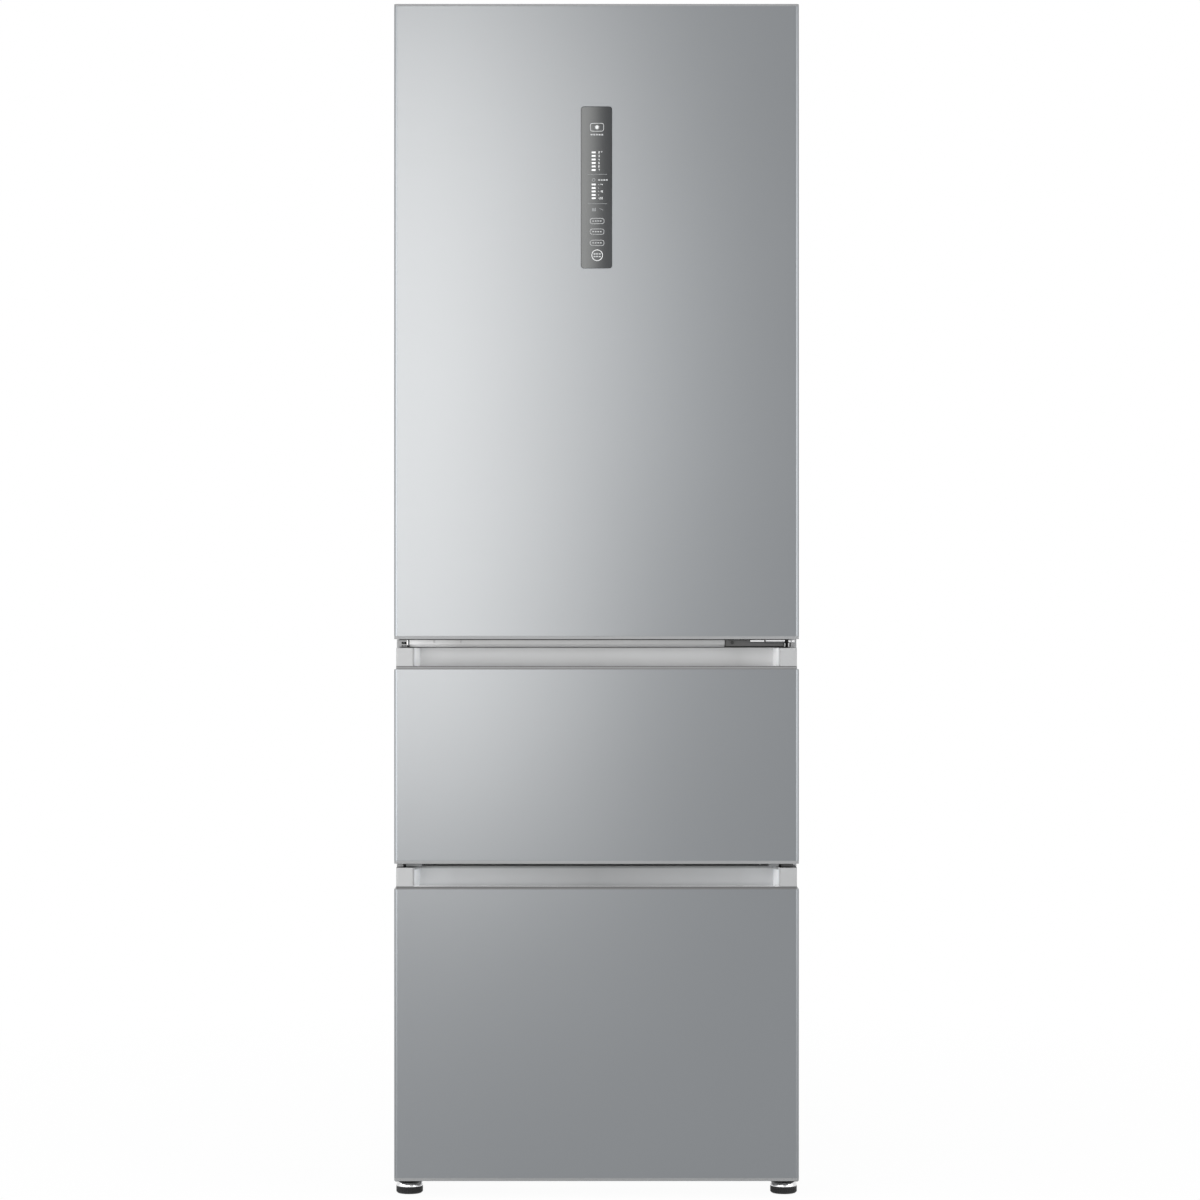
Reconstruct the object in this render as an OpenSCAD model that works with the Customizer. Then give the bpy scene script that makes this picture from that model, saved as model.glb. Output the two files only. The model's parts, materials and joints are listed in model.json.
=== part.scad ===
// Fridge freezer: a hinged fridge door above two pull-out freezer drawers.
// Millimetres, +Z up, the fronts face -Y, origin on the floor under the middle of the appliance.

/* [Fronts] */
// Overall width of the appliance
body_w = 595; // [575:1:620]
// Overall depth from the door fronts to the wall spacers
total_d = 657; // [640:1:690]
// Height of the lowest front edge above the floor
floor_gap = 24; // [24:0.5:30]
// Height of the lower drawer front with its grip
lower_front_h = 460; // [450:1:480]
// Gap between the two drawer fronts
drawer_gap = 6; // [5:0.5:8]
// Height of the middle drawer front with its grip
middle_front_h = 317; // [310:1:340]
// Gap between the middle drawer and the fridge door
hinge_gap = 13; // [12.5:0.5:16]
// Height of the fridge door
door_h = 933; // [920:1:960]
// Thickness of the fronts without their seals
front_t = 58; // [56:0.5:62]
// Space that the seals fill between fronts and cabinet
seal_gap = 10; // [9.5:0.5:11]
// Radius of the rolled vertical edges of the fronts
edge_r = 5; // [4.5:0.1:6]
// Sheet thickness of the front skins
skin_t = 0.8; // [0.6:0.1:1]
// Width of the return flanges at the rear of the skins
skin_flange = 14; // [10:0.5:16]
// Height of the cap rims that show under the skins
cap_rim = 4.4; // [4:0.1:5]
// Height of the cap rim on top of the door
top_rim = 3; // [2.5:0.1:4]
// Height of the skirts that the caps push into the skins
cap_skirt = 14; // [12:0.5:18]
// Wall thickness of caps and grips
cap_wall = 2.5; // [2:0.1:3]

/* [Grips] */
// Visible height of the grip recess above its lip
grip_h = 26.5; // [25:0.5:30]
// Height of the lip under the recess
lip_h = 5; // [4:0.5:6]
// Thickness of the lip that the fingers pull
lip_t = 4; // [3.5:0.5:6]
// How far a grip is narrower than the front on each side
grip_inset = 3; // [2:0.5:4]
// Width of the closed block at each end of a grip
grip_end_w = 24.5; // [22:0.5:28]
// Radius of the scooped rear wall of the recess
scoop_r = 34.5; // [33:0.5:36]
// How far the end walls of the recess lean inwards
scoop_lean = 10; // [6:0.5:12]
// Height of the hidden part of a grip under the skin edge
grip_root = 9.5; // [8:0.5:12]

/* [Cabinet] */
// Sheet thickness of the outer case
case_t = 1; // [0.8:0.1:1.2]
// Thickness of the plastic liners
liner_t = 1.5; // [1.2:0.1:2]
// Wall thickness round the fridge space
fridge_wall = 46; // [44:1:50]
// Wall thickness round the freezer space
freezer_wall = 56; // [54:1:60]
// Width of the steel sealing flange round the cabinet front
flange_w = 42; // [41:0.5:43]
// How far the cabinet roof lies under the door top
roof_drop = 15; // [14:0.5:18]
// Height of the underside of the cabinet
base_z = 22.5; // [22:0.5:23]
// Height of the divider between fridge and freezer
divider_h = 72; // [68:1:76]
// Height of the freezer floor above the underside of the cabinet
freezer_floor_h = 40; // [36:1:46]
// Height of the machine bay at the rear
bay_h = 218; // [205:1:225]
// Depth of the machine bay
bay_d = 227; // [215:1:235]
// Insulation between the machine bay and the freezer
bay_wall = 50; // [45:1:55]
// Height of the rail between the drawers
rail_h = 69; // [66:1:74]
// Depth of the rail between the drawers
rail_d = 50; // [45:1:55]
// Thickness of the wall spacers at the rear
spacer_t = 4; // [3:0.5:8]
// Height of the nose that fills the gap under the fridge door
nose_h = 7; // [6:0.5:8]
// Space between the nose and the fridge door
nose_gap = 1.2; // [1:0.1:1.8]
// Depth where the nose begins
nose_d = 12; // [8:1:20]
// Depth of the step under the nose, counted from its front
nose_step_d = 8; // [5:0.5:12]
// Space between the step under the nose and the drawer
nose_step_gap = 1.6; // [1.2:0.1:2]

/* [Hinges] */
// Distance of the hinge axis from the side of the door
hinge_side = 17; // [16:0.5:19]
// Depth of the hinge axis behind the front plane
hinge_d = 32; // [31:0.5:34]
// Radius of the hinge pins
pin_r = 3.5; // [3:0.1:4]
// Radial clearance of everything that turns on a pin
run_gap = 0.1; // [0.05:0.01:0.15]
// Thickness of the hinge plates
hinge_t = 3; // [2.5:0.1:3.5]
// Half width of the arm of the upper hinge
arm_r = 9; // [8:0.5:10]
// Width of the middle hinge bracket
bracket_w = 96.5; // [92:0.5:100]
// Height of the middle hinge bracket at its left half
bracket_h = 8.5; // [7.5:0.5:9]
// Height of the middle hinge bracket beside the pin
bracket_low_h = 4.2; // [4:0.1:5]
// Depth where the middle hinge bracket begins
bracket_d = 12; // [9:0.5:20]
// Space between the middle hinge bracket and the drawer under it
bracket_gap = 2.5; // [2:0.5:3]

/* [Seals] */
// Width of the seal frames
seal_w = 20; // [18:0.5:20.5]
// Distance of the seal frames from the sides of the fronts
seal_side = 20.5; // [20:0.5:21]
// Distance of the seals from the upper and lower edges of the fronts
seal_edge = 8; // [7:0.5:9]
// Gap that stays between a closed seal and the cabinet
seal_play = 0.3; // [0.2:0.1:0.5]

/* [Slides] */
// Gap between the slides and the cover of the evaporator
slide_rear_gap = 25; // [20:1:40]
// Height of a slide
slide_h = 35; // [32:1:40]
// Width of a closed slide
slide_w = 12.7; // [12.5:0.1:14]
// Sheet thickness of the slide members
slide_t = 1.2; // [1:0.1:1.3]
// Play between slide members
slide_play = 0.5; // [0.4:0.05:0.6]
// Depth where the slides begin
slide_d = 95; // [90:1:100]
// Sheet thickness of the drawer frames
frame_t = 1.5; // [1.2:0.1:2]
// Width of the ledges that carry the baskets
ledge_w = 14; // [12:0.5:16]

/* [Interior] */
// Thickness of the glass shelves
glass_t = 4; // [3:0.5:5]
// Depth where the shelves begin
shelf_d = 190; // [186:1:200]
// Gap between the shelves and the rear wall of the fridge
shelf_rear_gap = 47; // [40:1:60]
// Width of the ledges that carry the shelves
shelf_ledge = 8; // [6:0.5:10]
// Height of the glass over the chill drawer above the fridge floor
glass_1 = 154; // [150:1:160]
// Height of the glass over the crispers above the fridge floor
glass_2 = 344; // [335:1:350]
// Height of the lower shelf above the fridge floor
glass_3 = 504; // [480:1:520]
// Height of the upper shelf above the fridge floor
glass_4 = 670; // [660:1:700]
// Wall thickness of drawers, baskets and bins
bin_t = 2.5; // [2:0.1:3]
// Depth of the door bins
bin_d = 108; // [90:1:112]
// Height of the bottle bin
bottle_bin_h = 150; // [140:1:160]
// Height of the other door bins
jar_bin_h = 100; // [90:1:110]
// Corner radius of the door bins
bin_r = 5; // [4:0.5:8]
// Height of the bottle bin above the fridge floor
bin_1 = 45; // [40:1:50]
// Free height above the bottle bin
bottle_room = 85; // [80:1:90]
// Free height above each of the other bins
jar_room = 100; // [95:1:105]
// Width of the air duct in the fridge
air_duct_w = 220; // [200:2:240]
// Thickness of the air duct in the fridge
air_duct_t = 22; // [20:0.5:26]
// Depth of the evaporator space
duct_d = 67; // [65:1:72]
// Wall thickness of the cover of the evaporator
duct_t = 2.5; // [2:0.1:3]
// Width of the lamp under the ceiling
lamp_w = 140; // [120:2:160]
// Depth of the lamp from front to rear
lamp_l = 80; // [70:1:90]
// Height of the lamp
lamp_h = 10; // [9:0.5:12]
// Height of the ridge of the door liner
ridge_d = 32; // [28:1:36]
// Width of the ridge of the door liner
ridge_w = 14; // [12:0.5:18]
// Slit round the foam bars in the ridge of the door
foam_slit = 0.5; // [0.3:0.1:1]

/* [Control panel] */
// Width of the display window
display_w = 45; // [40:0.1:50]
// Height of the display window
display_h = 237; // [220:0.1:250]
// Distance of the window top below the door top
display_drop = 151; // [140:1:170]
// Corner radius of the display window
display_r = 4; // [2:0.1:6]

/* [Feet and rollers] */
// Distance of the foot axes from the sides of the cabinet
foot_side = 20.5; // [20.5:0.5:26]
// Depth of the foot axes behind the front plane
foot_d = 45; // [42:0.5:50]
// Radius of a levelling foot
foot_r = 19.7; // [18:0.1:20]
// Height of the knurled foot pad
foot_pad_h = 10.3; // [9:0.1:10.5]
// Bevel round the lower edge of the foot pad
foot_bevel = 2; // [1:0.1:2.5]
// Height of the domed plate on the foot pad
foot_dome_h = 7; // [6:0.1:7.3]
// Radius of the foot stem
stem_r = 5; // [4:0.1:5.5]
// Distance of the roller middles from the sides of the cabinet
roller_side = 42.5; // [36:0.5:50]
// Distance of the roller axles from the rear panel
roller_back = 53; // [45:1:60]
// Radius of the rear rollers
roller_r = 10.5; // [10:0.1:10.8]
// Width of the rear rollers
roller_w = 22; // [18:0.5:24]
// Radius of the roller axles
axle_r = 3; // [2.5:0.1:3.5]

/* [Machine bay] */
// Distance of the compressor axis from the side of the cabinet
comp_side = 137.5; // [134:0.5:142]
// Distance of the compressor axis from the rear
comp_back = 112; // [106:1:116]
// Height of the rubber mounts under the compressor
comp_foot_h = 14; // [12:0.5:16]
// Distance of the rubber mounts from the compressor axis, sideways
comp_foot_x = 90; // [86:1:92]
// Distance of the rubber mounts from the compressor axis, front to rear
comp_foot_d = 48; // [44:1:50]
// Radius of the compressor shell
comp_r = 72; // [65:1:74]
// Height of the compressor shell
comp_h = 140; // [130:1:142]
// Distance of the condenser from the side of the cabinet
cond_side = 57.5; // [50:0.5:65]
// Distance of the front of the condenser from the rear
cond_back = 190; // [186:1:195]
// Width of the condenser
cond_w = 220; // [200:2:226]
// Height of the condenser
cond_h = 176; // [160:1:180]
// Thickness of the condenser
cond_t = 50; // [40:1:52]
// Radius of the condenser fan
cond_fan_r = 55; // [45:1:60]
// Height of the condenser fan axis above the base
cond_fan_z = 110; // [100:1:115]
// Width of the evaporator
evap_w = 400; // [380:2:420]
// Thickness of the evaporator
evap_t = 54; // [48:1:56]
// Space round the lower edge of the evaporator
evap_gap = 20; // [15:1:30]
// Radius of the evaporator fan
evap_fan_r = 50; // [45:1:52]
// Radius of the fan motors
motor_r = 22; // [20:1:24]
// Length of the condenser fan motor
cond_motor_l = 32; // [28:1:34]
// Length of the evaporator fan motor
evap_motor_l = 36; // [32:1:38]
// Distance of the evaporator fan axis below the freezer roof
evap_fan_drop = 75; // [70:1:80]
// Width of the mains inlet
inlet_w = 55; // [50:1:60]
// Height of the mains inlet
inlet_h = 34; // [30:1:38]

/* [Hidden] */
$fn = 64;

hw = body_w / 2;
low0 = floor_gap;
low1 = low0 + lower_front_h;
mid0 = low1 + drawer_gap;
mid1 = mid0 + middle_front_h;
door0 = mid1 + hinge_gap;
door1 = door0 + door_h;
roof_z = door1 - roof_drop;
cab_d = front_t + seal_gap;
cab_in = cab_d + case_t;
back_d = total_d - spacer_t;
back_in = back_d - case_t;
inner_d = front_t - liner_t;

// fridge space
fx = hw - fridge_wall;
frz0 = door0 + seal_edge + seal_w + 2;
frz1 = roof_z - fridge_wall;
frd = back_d - fridge_wall;
shelf_l = frd - shelf_rear_gap - shelf_d;
bin_2 = bin_1 + bottle_bin_h + bottle_room;
bin_3 = bin_2 + jar_bin_h + jar_room;
bin_4 = bin_3 + jar_bin_h + jar_room;

// freezer space
zx = hw - freezer_wall;
zz0 = base_z + freezer_floor_h;
zz1 = frz0 - divider_h;
zd = back_d - freezer_wall;
slide_l = zd - duct_d - slide_rear_gap - slide_d;
bay_z = base_z + bay_h;
bay_front = back_d - bay_d;
step_z = bay_z + case_t + bay_wall;
step_d = bay_front - bay_wall;
rail_z = (low1 + mid0) / 2 - rail_h / 2;

// slides and drawer frames
mid_slide_z = rail_z + rail_h + 40;
low_slide_z = step_z + 42;
frame_x = zx - slide_w;
basket_x = frame_x - frame_t - 1;

// hinge positions
hx = hw - hinge_side;
bracket_z = mid1 + bracket_gap;
bracket_x = hx + 5;
plate_z = mid1 - 6;
pocket_z = roof_z - 2;
pocket_x = hx - arm_r - 3;
pocket_d = hinge_d - arm_r - 14;
insert_s = 8;
insert_h = 24;

// feet, rollers and machine bay
foot_x = hw - foot_side;
roller_x = hw - roller_side;
roller_d = back_d - roller_back;
comp_x = -hw + comp_side;
comp_d = back_d - comp_back;
cond_x1 = hw - cond_side;
cond_x0 = cond_x1 - cond_w;
cond_d = back_d - cond_back;
cond_fan_x = (cond_x0 + cond_x1) / 2;
evap_fan_z = zz1 - evap_fan_drop;
inlet_x = -hw + 52.5;

// scooped recess, measured from its lip
scoop_u = lip_t + 3.5;
scoop_top = grip_h;

function yd(d) = d - total_d / 2;

module box(x0, x1, d0, d1, z0, z1) translate([x0, yd(d0), z0]) cube([x1 - x0, d1 - d0, z1 - z0]);
module wide(x, d0, d1, z0, z1) box(-x, x, d0, d1, z0, z1);
module pair() { children(); mirror([1, 0, 0]) children(); }
module post(x, d, z0, z1, r) translate([x, yd(d), z0]) cylinder(r = r, h = z1 - z0);
module rod(x, z, d0, d1, r) translate([x, yd(d0), z]) rotate([-90, 0, 0]) cylinder(r = r, h = d1 - d0);
module bar(x0, x1, d, z, r) translate([x0, yd(d), z]) rotate([0, 90, 0]) cylinder(r = r, h = x1 - x0);

module rsq(w, h, r) {
    square([w - 2 * r, h], center = true);
    square([w, h - 2 * r], center = true);
    for (x = [-1, 1], y = [-1, 1])
        translate([x * (w / 2 - r), y * (h / 2 - r)]) circle(r);
}

// rounded box between two depths with its outline seen from above
module tub_block(x0, x1, d0, d1, z0, z1, r)
    translate([(x0 + x1) / 2, yd((d0 + d1) / 2), z0])
        linear_extrude(z1 - z0) rsq(x1 - x0, d1 - d0, r);

// open tray or drawer with even walls
module tub(x0, x1, d0, d1, z0, z1, r) difference() {
    tub_block(x0, x1, d0, d1, z0, z1, r);
    tub_block(x0 + bin_t, x1 - bin_t, d0 + bin_t, d1 - bin_t, z0 + bin_t, z1 + 1, r - bin_t);
}

// outline of a front seen from above, with rolled front edges
module front_plan(inset, back) {
    r = edge_r - inset;
    translate([-hw + inset, yd(edge_r)]) square([2 * (hw - inset), back - edge_r]);
    translate([-hw + edge_r, yd(inset)]) square([2 * (hw - edge_r), back - inset]);
    for (s = [-1, 1]) translate([s * (hw - edge_r), yd(edge_r)]) circle(r);
}

// slab with the outline of a front
module front_slab(inset, back, z0, z1)
    translate([0, 0, z0]) linear_extrude(z1 - z0) front_plan(inset, back);

// folded steel skin of a front
module skin(z0, z1) {
    difference() {
        front_slab(0, inner_d + skin_t, z0, z1);
        front_slab(skin_t, inner_d, z0 - 1, z1 + 1);
        wide(hw - skin_flange, inner_d - 1, front_t, z0 - 1, z1 + 1);
    }
}

// plastic cap that closes the lower end of a front
module lower_cap(z0) difference() {
    union() {
        front_slab(0, inner_d, z0, z0 + cap_rim);
        front_slab(skin_t, inner_d, z0 + cap_rim, z0 + cap_rim + cap_skirt);
    }
    front_slab(skin_t + cap_wall, inner_d - cap_wall, z0 + cap_rim - 1.5, z0 + cap_rim + cap_skirt + 1);
}

// magnetic seal: base, bellows and magnet strip in a closed frame
module seal(z0, z1) {
    x1 = hw - seal_side;
    d1 = cab_d - seal_play;
    strip = 3;
    module ring(o, w, d0, d1) difference() {
        wide(x1 - o, d0, d1, z0 + o, z1 - o);
        wide(x1 - o - w, d0 - 1, d1 + 1, z0 + o + w, z1 - o - w);
    }
    ring(0, seal_w, front_t, front_t + strip);
    ring(seal_w / 2 - 4, 8, front_t + strip, d1 - strip);
    ring(1, seal_w - 3, d1 - strip, d1);
}

// section of the scooped recess, seen from the side, with its origin at the lip
module scoop_section() {
    translate([-1, 0]) square([scoop_u + 1, scoop_top + 1]);
    intersection() {
        translate([scoop_u, scoop_top]) circle(scoop_r, $fn = 96);
        translate([lip_t, -scoop_r]) square([scoop_r * 2, scoop_r + scoop_top]);
    }
    translate([lip_t, scoop_top]) square([scoop_u + scoop_r - lip_t, 1]);
}

// space behind the scooped wall that the foam fills
module scoop_back() difference() {
    translate([lip_t + 4, -lip_h - grip_root - 1])
        square([inner_d - cap_wall - lip_t - 4, scoop_top + lip_h + grip_root + 1 - cap_wall]);
    translate([scoop_u, scoop_top]) circle(scoop_r + cap_wall, $fn = 96);
}

// turns a side section into a bar along X
module along_x(x, z) translate([-x, yd(0), z]) rotate([90, 0, 90]) linear_extrude(2 * x) children();

// grip moulding with its scooped finger recess; top is the upper edge of the front
module grip(top) {
    zl = top - grip_h;
    zs = zl - lip_h;
    gx = hw - grip_inset;
    ox = gx - grip_end_w;
    difference() {
        union() {
            translate([0, yd(inner_d / 2), zs]) linear_extrude(top - zs) rsq(2 * gx, inner_d, 2.5);
            front_slab(skin_t, inner_d, zs - grip_root, zs);
        }
        intersection() {
            along_x(gx + 1, zl) scoop_section();
            translate([0, yd(-1), zs - grip_root]) linear_extrude(top - zs + grip_root + 1)
                polygon([[-ox, 0], [ox, 0], [ox - scoop_lean, scoop_u + scoop_r + 2],
                         [-ox + scoop_lean, scoop_u + scoop_r + 2]]);
        }
        along_x(ox - scoop_lean, zl) scoop_back();
    }
}

// foam of a drawer front, which fills the space behind the scooped wall too
module drawer_foam(z0, top) {
    zl = top - grip_h;
    zs = zl - lip_h;
    front_slab(skin_t, inner_d, z0 + cap_rim + cap_skirt, zs - grip_root);
    front_slab(skin_t + cap_wall, inner_d - cap_wall, z0 + cap_rim - 1.5, z0 + cap_rim + cap_skirt + 1);
    along_x(hw - grip_inset - grip_end_w - scoop_lean, zl) scoop_back();
}

// inner panel of a drawer front with the lower cap in one moulding
module inner_panel(z0, top) {
    lower_cap(z0);
    wide(hw - skin_flange, inner_d, front_t, z0, top);
    wide(hw - skin_flange, inner_d - 1, front_t, z0, z0 + cap_rim + cap_skirt);
    difference() {
        wide(hw - 90, front_t, front_t + 5, z0 + 45, top - 60);
        wide(hw - 92, inner_d - 1, front_t + 3.5, z0 + 47, top - 62);
    }
}

// section of one member of a telescopic slide, from the wall inwards
module member(w0, w1, web, h) {
    translate([web, -h / 2]) square([slide_t, h]);
    for (s = [-1, 1]) translate([w0, s * (h / 2 - slide_t / 2) - slide_t / 2]) square([w1 - w0, slide_t]);
}

function mid_member_h() = slide_h - 2 * (slide_t + slide_play);
function in_member_h() = mid_member_h() - 2 * (slide_t + slide_play);

module slide_bar(z) pair() translate([zx, yd(slide_d), z]) mirror([1, 0, 0])
    rotate([90, 0, 0]) translate([0, 0, -slide_l]) linear_extrude(slide_l) children();

module outer_members(z) slide_bar(z) member(0, slide_w - 3.4, 0, slide_h);
module middle_members(z) {
    w0 = slide_t + slide_play;
    slide_bar(z) member(w0, slide_w - w0, w0, mid_member_h());
}
module inner_members(z)
    slide_bar(z) member(2 * (slide_t + slide_play), slide_w, slide_w - slide_t, in_member_h());

// side plates, ledges and front feet of a drawer frame with the inner slide members
module frame(z, z0, z1) {
    inner_members(z);
    pair() {
        box(frame_x - frame_t, frame_x, front_t, slide_d + slide_l, z0, z1);
        box(frame_x - ledge_w, frame_x, front_t, slide_d + slide_l, z0 - frame_t, z0);
        box(frame_x - ledge_w, frame_x, front_t, front_t + 2, z0, z1);
    }
}

// wire basket look: solid floor, framed walls and open windows
module basket(x, d0, d1, z0, z1) difference() {
    union() {
        tub(-x, x, d0, d1, z0, z1, 12);
        difference() {
            tub_block(-x, x, d0, d1, z1 - 4, z1, 12);
            tub_block(-x + 6, x - 6, d0 + 6, d1 - 6, z1 - 5, z1 + 1, 6);
        }
    }
    tub_block(-60, 60, d0 - 20, d0 + 20, z1 - 32, z1 - 12, 8);
}

// finned coil with tubes along X
module coil(x0, x1, d0, d1, z0, z1, fins, rows) {
    step = (x1 - x0 - 24) / (fins - 1);
    for (i = [0:fins - 1])
        box(x0 + 12 + i * step - 0.5, x0 + 12 + i * step + 0.5, d0, d1, z0, z1);
    for (i = [0:rows - 1], j = [0.28, 0.72])
        bar(x0, x1, d0 + (d1 - d0) * j, z0 + (z1 - z0) * (i + 0.5) / rows, 4);
    pair_d = (d1 - d0) * 0.44 + 8;
    for (i = [0:rows - 1], s = [x0 - 3, x1 - 5])
        box(s, s + 8, d0 + (d1 - d0) * 0.28 - 4, d0 + (d1 - d0) * 0.28 - 4 + pair_d,
            z0 + (z1 - z0) * (i + 0.5) / rows - 4, z0 + (z1 - z0) * (i + 0.5) / rows + 4);
}

// axial fan with pitched blades, axis along Y
module fan(x, z, d, r) {
    difference() {
        rod(x, z, d, d + 16, 17);
        rod(x, z, d + 4, d + 17, 3 + run_gap);
    }
    for (i = [0:6]) translate([x, yd(d + 8), z]) rotate([0, i * 360 / 7, 0])
        translate([14, 0, 0]) rotate([35, 0, 0]) translate([0, -1, -11]) cube([r - 14, 2, 22]);
}

// fan motor with its shaft in front
module motor(x, z, d0, d1) {
    rod(x, z, d0, d1, motor_r);
    rod(x, z, d0 - 12, d0, 3);
}

outer_case();
rear_panel();
base_plate();
cabinet_foam();
fridge_liner();
freezer_liner();
front_rails();
top_hinge();
top_hinge_cover();
middle_hinge();
gap_blocks();
screws();
shelf_glass();
shelf_trims();
fridge_drawers();
fridge_air_duct();
ceiling_lamp();
freezer_air_duct();
evaporator();
fan_motors();
compressor();
compressor_mounts();
condenser();
machine_cover();
mains_inlet();
slide_outers();
support_brackets();
evaporator_fan();
condenser_fan();
left_foot();
right_foot();
left_roller();
right_roller();
door_skin();
door_top_cap();
door_bottom_cap();
door_foam();
door_liner();
door_seal();
door_bins();
display_window();
display_housing();
hinge_inserts();
middle_skin();
middle_grip();
middle_inner_panel();
middle_foam();
middle_seal();
middle_frame();
middle_basket();
middle_slides();
lower_skin();
lower_grip();
lower_inner_panel();
lower_foam();
lower_seal();
lower_frame();
lower_basket();
lower_tray();
lower_slides();

// steel outer case: sides, roof and sealing flanges
module outer_case() color("silver") {
    pair() {
        box(hw - case_t, hw, cab_d, back_d, base_z, roof_z);
        box(hw - flange_w, hw - case_t, cab_d, cab_in, base_z, roof_z - case_t);
    }
    wide(hw - case_t, cab_d, back_d, roof_z - case_t, roof_z);
    wide(hw - flange_w, cab_d, cab_in, roof_z - flange_w, roof_z - case_t);
}

module rear_panel() color("lightgrey")
    wide(hw - case_t, back_in, back_d, bay_z + case_t, roof_z - case_t);

// bent sheet that closes the underside and lines the machine bay
module base_plate() color("silver") {
    bx = hw - case_t;
    wide(bx, cab_in, back_in, base_z, base_z + case_t);
    wide(bx, bay_front - case_t, bay_front, base_z + case_t, bay_z + case_t);
    wide(bx, bay_front, back_in, bay_z, bay_z + case_t);
    pair() box(bx - case_t, bx, bay_front, back_in, base_z + case_t, bay_z);
}

// one piece of rigid foam between case and liners
module cabinet_foam() color("khaki") difference() {
    wide(hw - case_t, cab_in, back_in, base_z + case_t, roof_z - case_t);
    wide(fx + liner_t, cab_in - 1, frd + liner_t, frz0 - liner_t, frz1 + liner_t);
    difference() {
        wide(zx + liner_t, cab_in - 1, zd + liner_t, zz0 - liner_t, zz1 + liner_t);
        wide(zx + liner_t + 1, step_d + liner_t, zd + 2, zz0 - 2, step_z - liner_t);
    }
    wide(hw, bay_front - case_t, back_d, base_z, bay_z + case_t);
}

// moulded liner of the fridge space with shelf ledges and floor ribs
module fridge_liner() color("white") {
    difference() {
        wide(fx + liner_t, cab_in, frd + liner_t, frz0 - liner_t, frz1 + liner_t);
        wide(fx, cab_in - 1, frd, frz0, frz1);
    }
    pair() {
        box(fx, hw - flange_w, cab_d, cab_in, frz0, frz1);
        for (g = [glass_1, glass_2, glass_3, glass_4])
            box(fx - shelf_ledge, fx, shelf_d, shelf_d + shelf_l + 20, frz0 + g - 6, frz0 + g);
        box(fx - 70, fx - 60, shelf_d, shelf_d + shelf_l, frz0, frz0 + 5);
    }
}

// moulded liner of the freezer space with the step over the machine bay
module freezer_liner() color("white") difference() {
    union() {
        wide(zx + liner_t, cab_in, zd + liner_t, zz0 - liner_t, zz1 + liner_t);
        pair() box(zx, hw - flange_w, cab_d, cab_in, zz0, zz1);
    }
    difference() {
        wide(zx, cab_d - 1, zd, zz0, zz1);
        wide(zx + 1, step_d, zd + 1, zz0 - 1, step_z);
    }
    wide(zx + liner_t + 1, step_d + liner_t, zd + 2, zz0 - 2, step_z - liner_t);
}

// plastic rails across the cabinet front: divider with its nose, drawer rail and sill
module front_rails() color("lightgrey") {
    rx = hw - flange_w;
    nose_x = bracket_x - bracket_w;
    nose_z = door0 - nose_gap;
    wide(rx, cab_d, cab_in, zz1, frz0);
    wide(rx, cab_d, cab_in, base_z, zz0);
    difference() {
        union() {
            box(-hw + 22, nose_x - 0.5, nose_d, cab_d - 1, nose_z - nose_h, nose_z);
            box(-hw + 22, nose_x - 0.5, nose_d + nose_step_d, cab_d - 1, mid1 + nose_step_gap, nose_z - 1);
            box(-rx, nose_x - 0.5, cab_d - 2, cab_in, nose_z - nose_h, nose_z);
            box(nose_x - 1, hx - 6.5, bracket_d + hinge_t + 2, cab_d - hinge_t - 4,
                bracket_z + hinge_t + 0.3, nose_z);
        }
        for (x = [58.7, 98.4])
            box(-hw + x - 1, -hw + x + 1, nose_d - 1, nose_d + 2, nose_z - 3.5, nose_z + 1);
    }
    difference() {
        wide(zx, cab_d, cab_d + rail_d, rail_z, rail_z + rail_h);
        wide(zx + 1, cab_d + 3, cab_d + rail_d - 3, rail_z + 3, rail_z + rail_h - 3);
    }
}

// hinge plate on the roof with its arm and pin
module top_hinge() color("dimgrey") {
    difference() {
        union() {
            box(hx - arm_r, hx + arm_r, hinge_d, cab_d + 8, roof_z, roof_z + hinge_t);
            post(hx, hinge_d, roof_z, roof_z + hinge_t, arm_r);
            box(hx - 42, hx + 12, cab_d + 8, cab_d + 74, roof_z, roof_z + hinge_t);
        }
        for (p = [[-32, 18], [-32, 60], [2, 60]]) post(hx + p[0], cab_d + p[1], roof_z - 1, roof_z + 5, 2.2);
    }
    post(hx, hinge_d, pocket_z - cap_wall - insert_h + 2, roof_z, pin_r);
}

module top_hinge_cover() color("lightgrey") difference() {
    box(hx - 46, hw - 1, cab_d + 4, cab_d + 80, roof_z, roof_z + 13);
    box(hx - 44, hw - 3, cab_d + 6, cab_d + 78, roof_z - 1, roof_z + 11);
    box(hx - arm_r - 1, hx + arm_r + 1, cab_d, cab_d + 10, roof_z - 1, roof_z + hinge_t + 1);
}

// folded hinge bracket on the divider with the pin that carries the door
module middle_hinge() color("dimgrey") {
    x0 = bracket_x - bracket_w;
    step_x = hx - 32;
    top = bracket_z + hinge_t;
    difference() {
        union() {
            box(x0, bracket_x, cab_d - hinge_t, cab_d, plate_z, plate_z + 25);
            box(x0, bracket_x, bracket_d + 1, cab_d - 1, bracket_z, top);
            box(x0, step_x, bracket_d, bracket_d + hinge_t, bracket_z, bracket_z + bracket_h);
            box(x0, hx - 5, bracket_d, bracket_d + hinge_t, bracket_z, bracket_z + bracket_low_h);
        }
        box(step_x - 22.5, step_x - 1, bracket_d - 1, bracket_d + hinge_t + 1, bracket_z + 5.2, door0);
        for (s = [72, 56, 40]) rod(hx - s, plate_z + 20, cab_d - 9, cab_d + 1, 2.2);
        translate([x0 + 10.5, yd(bracket_d - 1), bracket_z + 5.2]) rotate([-90, 0, 0])
            cylinder(r = 1.5, h = hinge_t + 2);
    }
    post(hx, hinge_d, top, door0 - 0.4, pin_r + 0.8);
    post(hx, hinge_d, top, door0 + insert_h - 4, pin_r);
}

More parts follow.
